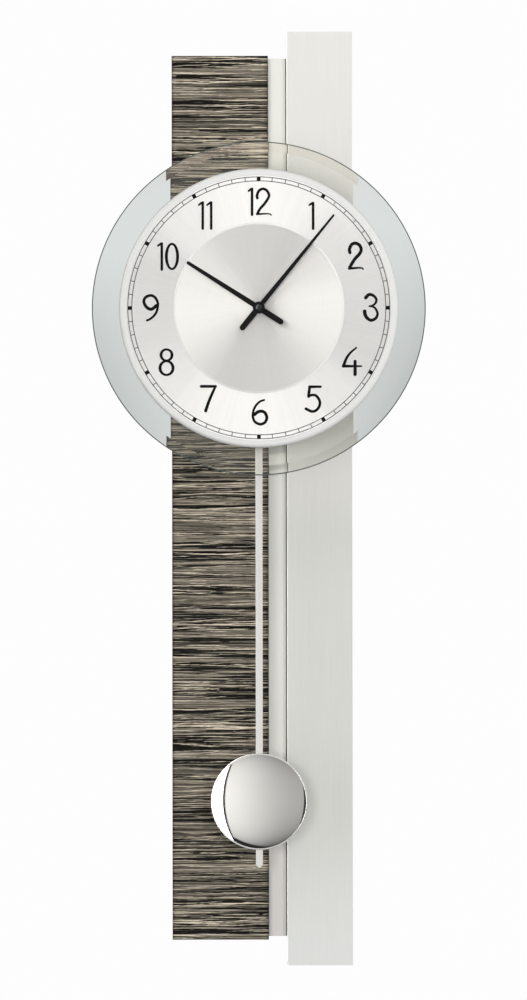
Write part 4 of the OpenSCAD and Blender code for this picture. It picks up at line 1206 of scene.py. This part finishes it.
NUMERALS = {
    "numeral_12": (
        one((248.9, 191.2), 188.9, 252.4, 214.9, 2.2)
        + two([(257.75, 198.3), (257.4, 195.5), (259.3, 191), (263.2, 189), (267, 190.6), (269.3, 194.8), (268.4, 198.6), (264.6, 204.2), (260.4, 209), (257.7, 213.9)], [(257.2, 214.3), (268.6, 213.9)], (271.7, 215.2), 2.3), ()),
    "numeral_1": (one((309.7, 205.2), 203.2, 313.4, 228.9, 2.4), ()),
    "numeral_2": (two([(350.2, 252.9), (349.7, 249.4), (351.8, 244.9), (355.6, 243.5), (359.5, 245.3), (361.4, 249.4), (360.1, 253.6), (354.9, 259.5), (351.8, 264.4), (349.7, 268.4)], [(349.2, 268.7), (360.8, 268.1)], (363.5, 269.4), 2.4), ()),
    "numeral_3": ([
        {"p": [(365.9, 298), (368.6, 295.2), (371.4, 294.9), (374.9, 297), (376.6, 300.4), (375.2, 303.9), (372.1, 306.1), (369.6, 306.4)], "w": (2.3, 1.2)},
        {"p": [(369.6, 306.4), (373.0, 306.9), (375.6, 308.8), (377.7, 313.7), (375.9, 318.5), (371.1, 320.5), (366.9, 317.8), (365.2, 314.3), (364.8, 311.6)], "w": (1.2, 2.5)},
    ], ()),
    "numeral_4": ([
        {"p": [(356.4, 347.9), (350, 353.6), (346.1, 359.5), (343.7, 366.0)], "w": (1.3, 2.3)},
        {"p": [(343.4, 366.3), (352, 366.4), (361.6, 366.4)], "w": (2.3, 1.2), "curved": False},
        {"p": [(355.2, 361.4), (355.2, 374.6)], "w": (2.2, 2.5), "curved": False},
    ], ()),
    "numeral_5": ([
        {"p": [(309.6, 387.0), (320.7, 386.9)], "w": (2.2, 1.9), "curved": False},
        {"p": [(309.8, 387.2), (308.6, 396.3)], "w": (2.2, 2.2), "curved": False},
        {"p": [(308.6, 396.8), (311, 395.4), (315.2, 395.4), (318, 397.8), (320, 402.3), (319, 407.2), (315.9, 410.7), (312.1, 411.6), (308.6, 410.3), (306, 408.9)], "w": (2.0, 2.2)},
    ], ()),
    "numeral_6": ([
        {"p": [(264.2, 400.1), (260, 401.7), (255.8, 405.9), (253.4, 411.4), (253, 417), (255.1, 421.9), (260.3, 424.3), (264.8, 422.6), (266.9, 418), (265.5, 413.5), (263.1, 411.6), (260, 411.4), (257.2, 412.5), (254.6, 414.6)], "w": (1.5, 2.4)},
    ], ()),
    "numeral_7": ([
        {"p": [(201.4, 386.4), (215.8, 386.4)], "w": (2.4, 2.2), "curved": False},
        {"p": [(215.4, 386.8), (209.5, 400.2), (205.8, 410.8)], "w": (2.0, 2.6)},
    ], ()),
    "numeral_8": ([], (((166.7, 355.0), 6.8, 6.5, 2.5, 1.8), ((166.7, 368.0), 7.85, 7.9, 2.6, 1.9))),
    "numeral_9": ([
        {"p": [(156.6, 305.6), (152.9, 308.7), (150.2, 309.1), (146.7, 307), (144.2, 302.1), (145.6, 297.6), (150.8, 295.4), (155, 297.2), (157.8, 301.8), (158.1, 305.9), (156.8, 311.8), (153.6, 316.4), (150.1, 319.1), (147.2, 320.4)], "w": (2.3, 1.5)},
    ], ()),
    "numeral_10": (one((158.3, 245.8), 243.5, 162.1, 269.6, 2.5), (((172.3, 256.5), 6.95, 13.5, 2.6, 1.9),)),
    "numeral_11": (one((199.1, 205.1), 202.5, 203.1, 228.7, 2.4) + one((207.5, 205.1), 202.5, 211.5, 228.7, 2.4), ()),
}
for name, (strokes, rings) in NUMERALS.items():
    ob = numeral(name, strokes, rings)
    dress(ob, ink, "root", sharp=40)


def track():
    """Two fine circles, a tick at every minute between them, and a square at every hour."""
    ro, ri = 92.3, 89.5
    parts = []
    for r in (ro, ri):
        v, f, _ = lathe_data([(r - 0.29, INK0), (r + 0.29, INK0), (r + 0.29, INK1 - 0.03), (r - 0.29, INK1 - 0.03)], 360)
        parts.append((v, f))
    for i in range(60):
        if i % 5 == 0:
            continue
        a = math.radians(90 - 6 * i)
        c, s_ = math.cos(a), math.sin(a)
        pts = []
        for r, t in ((ri + 0.2, -0.28), (ro - 0.2, -0.28), (ro - 0.2, 0.28), (ri + 0.2, 0.28)):
            pts.append((r * c - t * s_, r * s_ + t * c))
        parts.append(prism_data(pts, INK0, INK1 - 0.035))
    v, f = joined(parts)
    make("minute_track", v, f, ink_grey, slot="hand_black", sharp=30)
    sq = []
    for i in range(12):
        a = math.radians(90 - 30 * i)
        c, s_ = math.cos(a), math.sin(a)
        out = fillet([(-1.36, -1.32), (1.36, -1.32), (1.36, 1.32), (-1.36, 1.32)], [0.15] * 4, 2)
        sq.append(prism_data([((90.85 + u) * c - t * s_, (90.85 + u) * s_ + t * c) for u, t in out], INK0, INK1 + 0.01))
    v, f = joined(sq)
    make("hour_squares", v, f, ink, slot="hand_black", sharp=30)


track()

# ---------------------------------------------------------------- hands


def hand(name, node, body, angle, length, w0, w1, tail, wt_, we, bore, extra):
    """Straight tapered hand with a round-ended tail and a riveted hub."""
    _, _, _, _, f0, f1 = box_mm(node)
    out = [(w0 / 2, 0), (w1 / 2, length - 1), (w1 * 0.34, length - 0.25), (w1 * 0.12, length), (-w1 * 0.12, length), (-w1 * 0.34, length - 0.25), (-w1 / 2, length - 1), (-w0 / 2, 0), (-wt_ / 2, -1)]
    out += [(we / 2 * math.cos(math.radians(a)), we / 2 - tail + we / 2 * math.sin(math.radians(a))) for a in range(180, 361, 10)]
    out += [(wt_ / 2, -1)]
    t = math.radians(angle)
    c, s_ = math.cos(t), math.sin(t)
    out = [(x * c + z * s_, -x * s_ + z * c) for x, z in out]
    ob = combine(
        name,
        prism_data(out, f0, f1),
        [("UNION", disc_data(4.2, f0, f1 + extra)), ("DIFFERENCE", disc_data(bore, f0 - 1, f1 + 2, 64))],
    )
    soften(ob, 0.16, 3, 40)
    apply_all(ob)
    dress(ob, M["hand_black"], body, sharp=30)
    flat_normals(ob)
    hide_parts(node)
    return ob


hand("minute_pointer", "minute_hand", "minute", 39.1, 84.3, 3.4, 1.45, 20.1, 4.1, 4.1, 1.52, 0.0)
hand("hour_pointer", "hour_hand", "hour", 302.5, 60.0, 3.85, 2.35, 20.2, 4.15, 4.0, 3.02, 0.0)

_, _, _, _, hf0, hf1 = box_mm("hand_cap")
dome = [(2.4 * math.sin(t), hf0 + 0.25 + (hf1 - hf0 - 0.25) * math.cos(t)) for t in np.linspace(0, math.pi / 2, 20)]
prof = dome + [(2.4, hf0 + 0.08), (2.32, hf0), (1.0, hf0), (0.0, hf0)]
cap = lathe("arbor_cap", prof, general("cap_black", (0.012, 0.013, 0.015), rough=0.24, vary=0.2, scale=(400, 400, 400), fine=(2200, 2200, 2200), rough_vary=0.04, bump=0.03, depth=0.00003), n=96, closed=False, body="minute", slot="hand_black", sharp=40)
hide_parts("hand_cap")

# ---------------------------------------------------------------- pendulum rod

rx0, rx1, rz0, rz1, rf0, rf1 = box_mm("pendulum_rod")
rw = (rx1 - rx0) / 2
rc = (rx0 + rx1) / 2
top = [(rc + rw * math.cos(math.radians(a)), rz1 - rw + rw * math.sin(math.radians(a))) for a in range(0, 181, 10)]
tip = [(rc - rw, rz0 + 2.3), (rc - rw * 0.88, rz0 + 1.6), (rc - rw * 0.42, rz0 + 0.25), (rc - rw * 0.2, rz0), (rc + rw * 0.2, rz0), (rc + rw * 0.42, rz0 + 0.25), (rc + rw * 0.88, rz0 + 1.6), (rc + rw, rz0 + 2.3)]
rod = combine("rod_strip", prism_data(top + tip, rf0, rf1), [("DIFFERENCE", disc_data(1.4, rf0 - 1, rf1 + 1, 48, rc, rz1 - rw))])
soften(rod, 0.28, 3, 40)
apply_all(rod)
dress(rod, M["rod_silver"], "pendulum", sharp=28)
flat_normals(rod)
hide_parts("pendulum_rod")

# ---------------------------------------------------------------- bob


def bob(name, node, mat, sign, bead, reach, notch):
    """Pressed dome with a rolled bead round its edge; the back one is notched for the rod."""
    x0, x1, z0, z1, f0, f1 = box_mm(node)
    cx, cz = (x0 + x1) / 2, (z0 + z1) / 2
    R = (x1 - x0) / 2
    mid, h = (f0, f1 - f0) if sign > 0 else (f1, f1 - f0)
    cap_r = (R * R + h * h) / (2 * h)
    apex = mid + sign * h
    top_ang = math.asin((R - reach) / cap_r)
    outer = []
    for t in np.linspace(0, 1, 84):
        a = top_ang * (1 - (1 - t) ** 1.25)
        outer.append((cap_r * math.sin(a), apex - sign * cap_r * (1 - math.cos(a))))
    start = math.radians(-42)
    roll = [
        (R - bead + bead * math.sin(t), mid + sign * max(0.02, bead * math.cos(t)))
        for t in np.linspace(start, math.pi / 2, 15)
    ]
    # short step down from the dome to the root of the bead
    end = outer[-1]
    step = [(end[0] + 0.35 * (roll[0][0] - end[0]), end[1] + 0.8 * (roll[0][1] - end[1]))]
    inner = []
    ri = cap_r - 0.8
    for a in np.linspace(math.acos(min(1, (cap_r - h) / ri)), 0, 24):
        inner.append((ri * math.sin(a), apex - sign * (cap_r - ri * math.cos(a))))
    inner[-1] = (0.0, inner[-1][1])
    prof_ = outer + step + roll + [(R - 0.06, mid), (inner[0][0], mid)] + inner[1:]
    v, f, _ = lathe_data(prof_, 320, cx, cz, closed=False)
    if notch:
        gap = [(cx - rw - 0.4, cz - R - 5), (cx + rw + 0.4, cz - R - 5), (cx + rw + 0.4, cz + R + 5), (cx - rw - 0.4, cz + R + 5)]
        ob = combine(name, (v, f), [("DIFFERENCE", prism_data(gap, rf0 - 0.4, mid + 1.0))])
    else:
        ob = solid(name, (v, f))
    dress(ob, mat, "bob", sharp=24)
    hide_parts(node)
    return ob


bob("bob_dome_front", "bob_front", M["bob_chrome"], 1, 0.62, 1.22, False)
bob("bob_dome_back", "bob_back", M["bob_steel"], -1, 0.50, 1.15, True)

# ---------------------------------------------------------------- rounded edges on kept CAD nodes

for name, width in (("movement_front_case", 0.35), ("movement_rear_case", 0.35), ("set_knob", 0.2), ("back_board", 0.35), ("hanger_plate", 0.2), ("movement_bracket", 0.2), ("wall_bumpers", 0.4)):
    soften(nodes[name], width, 2, 40, weld=True)
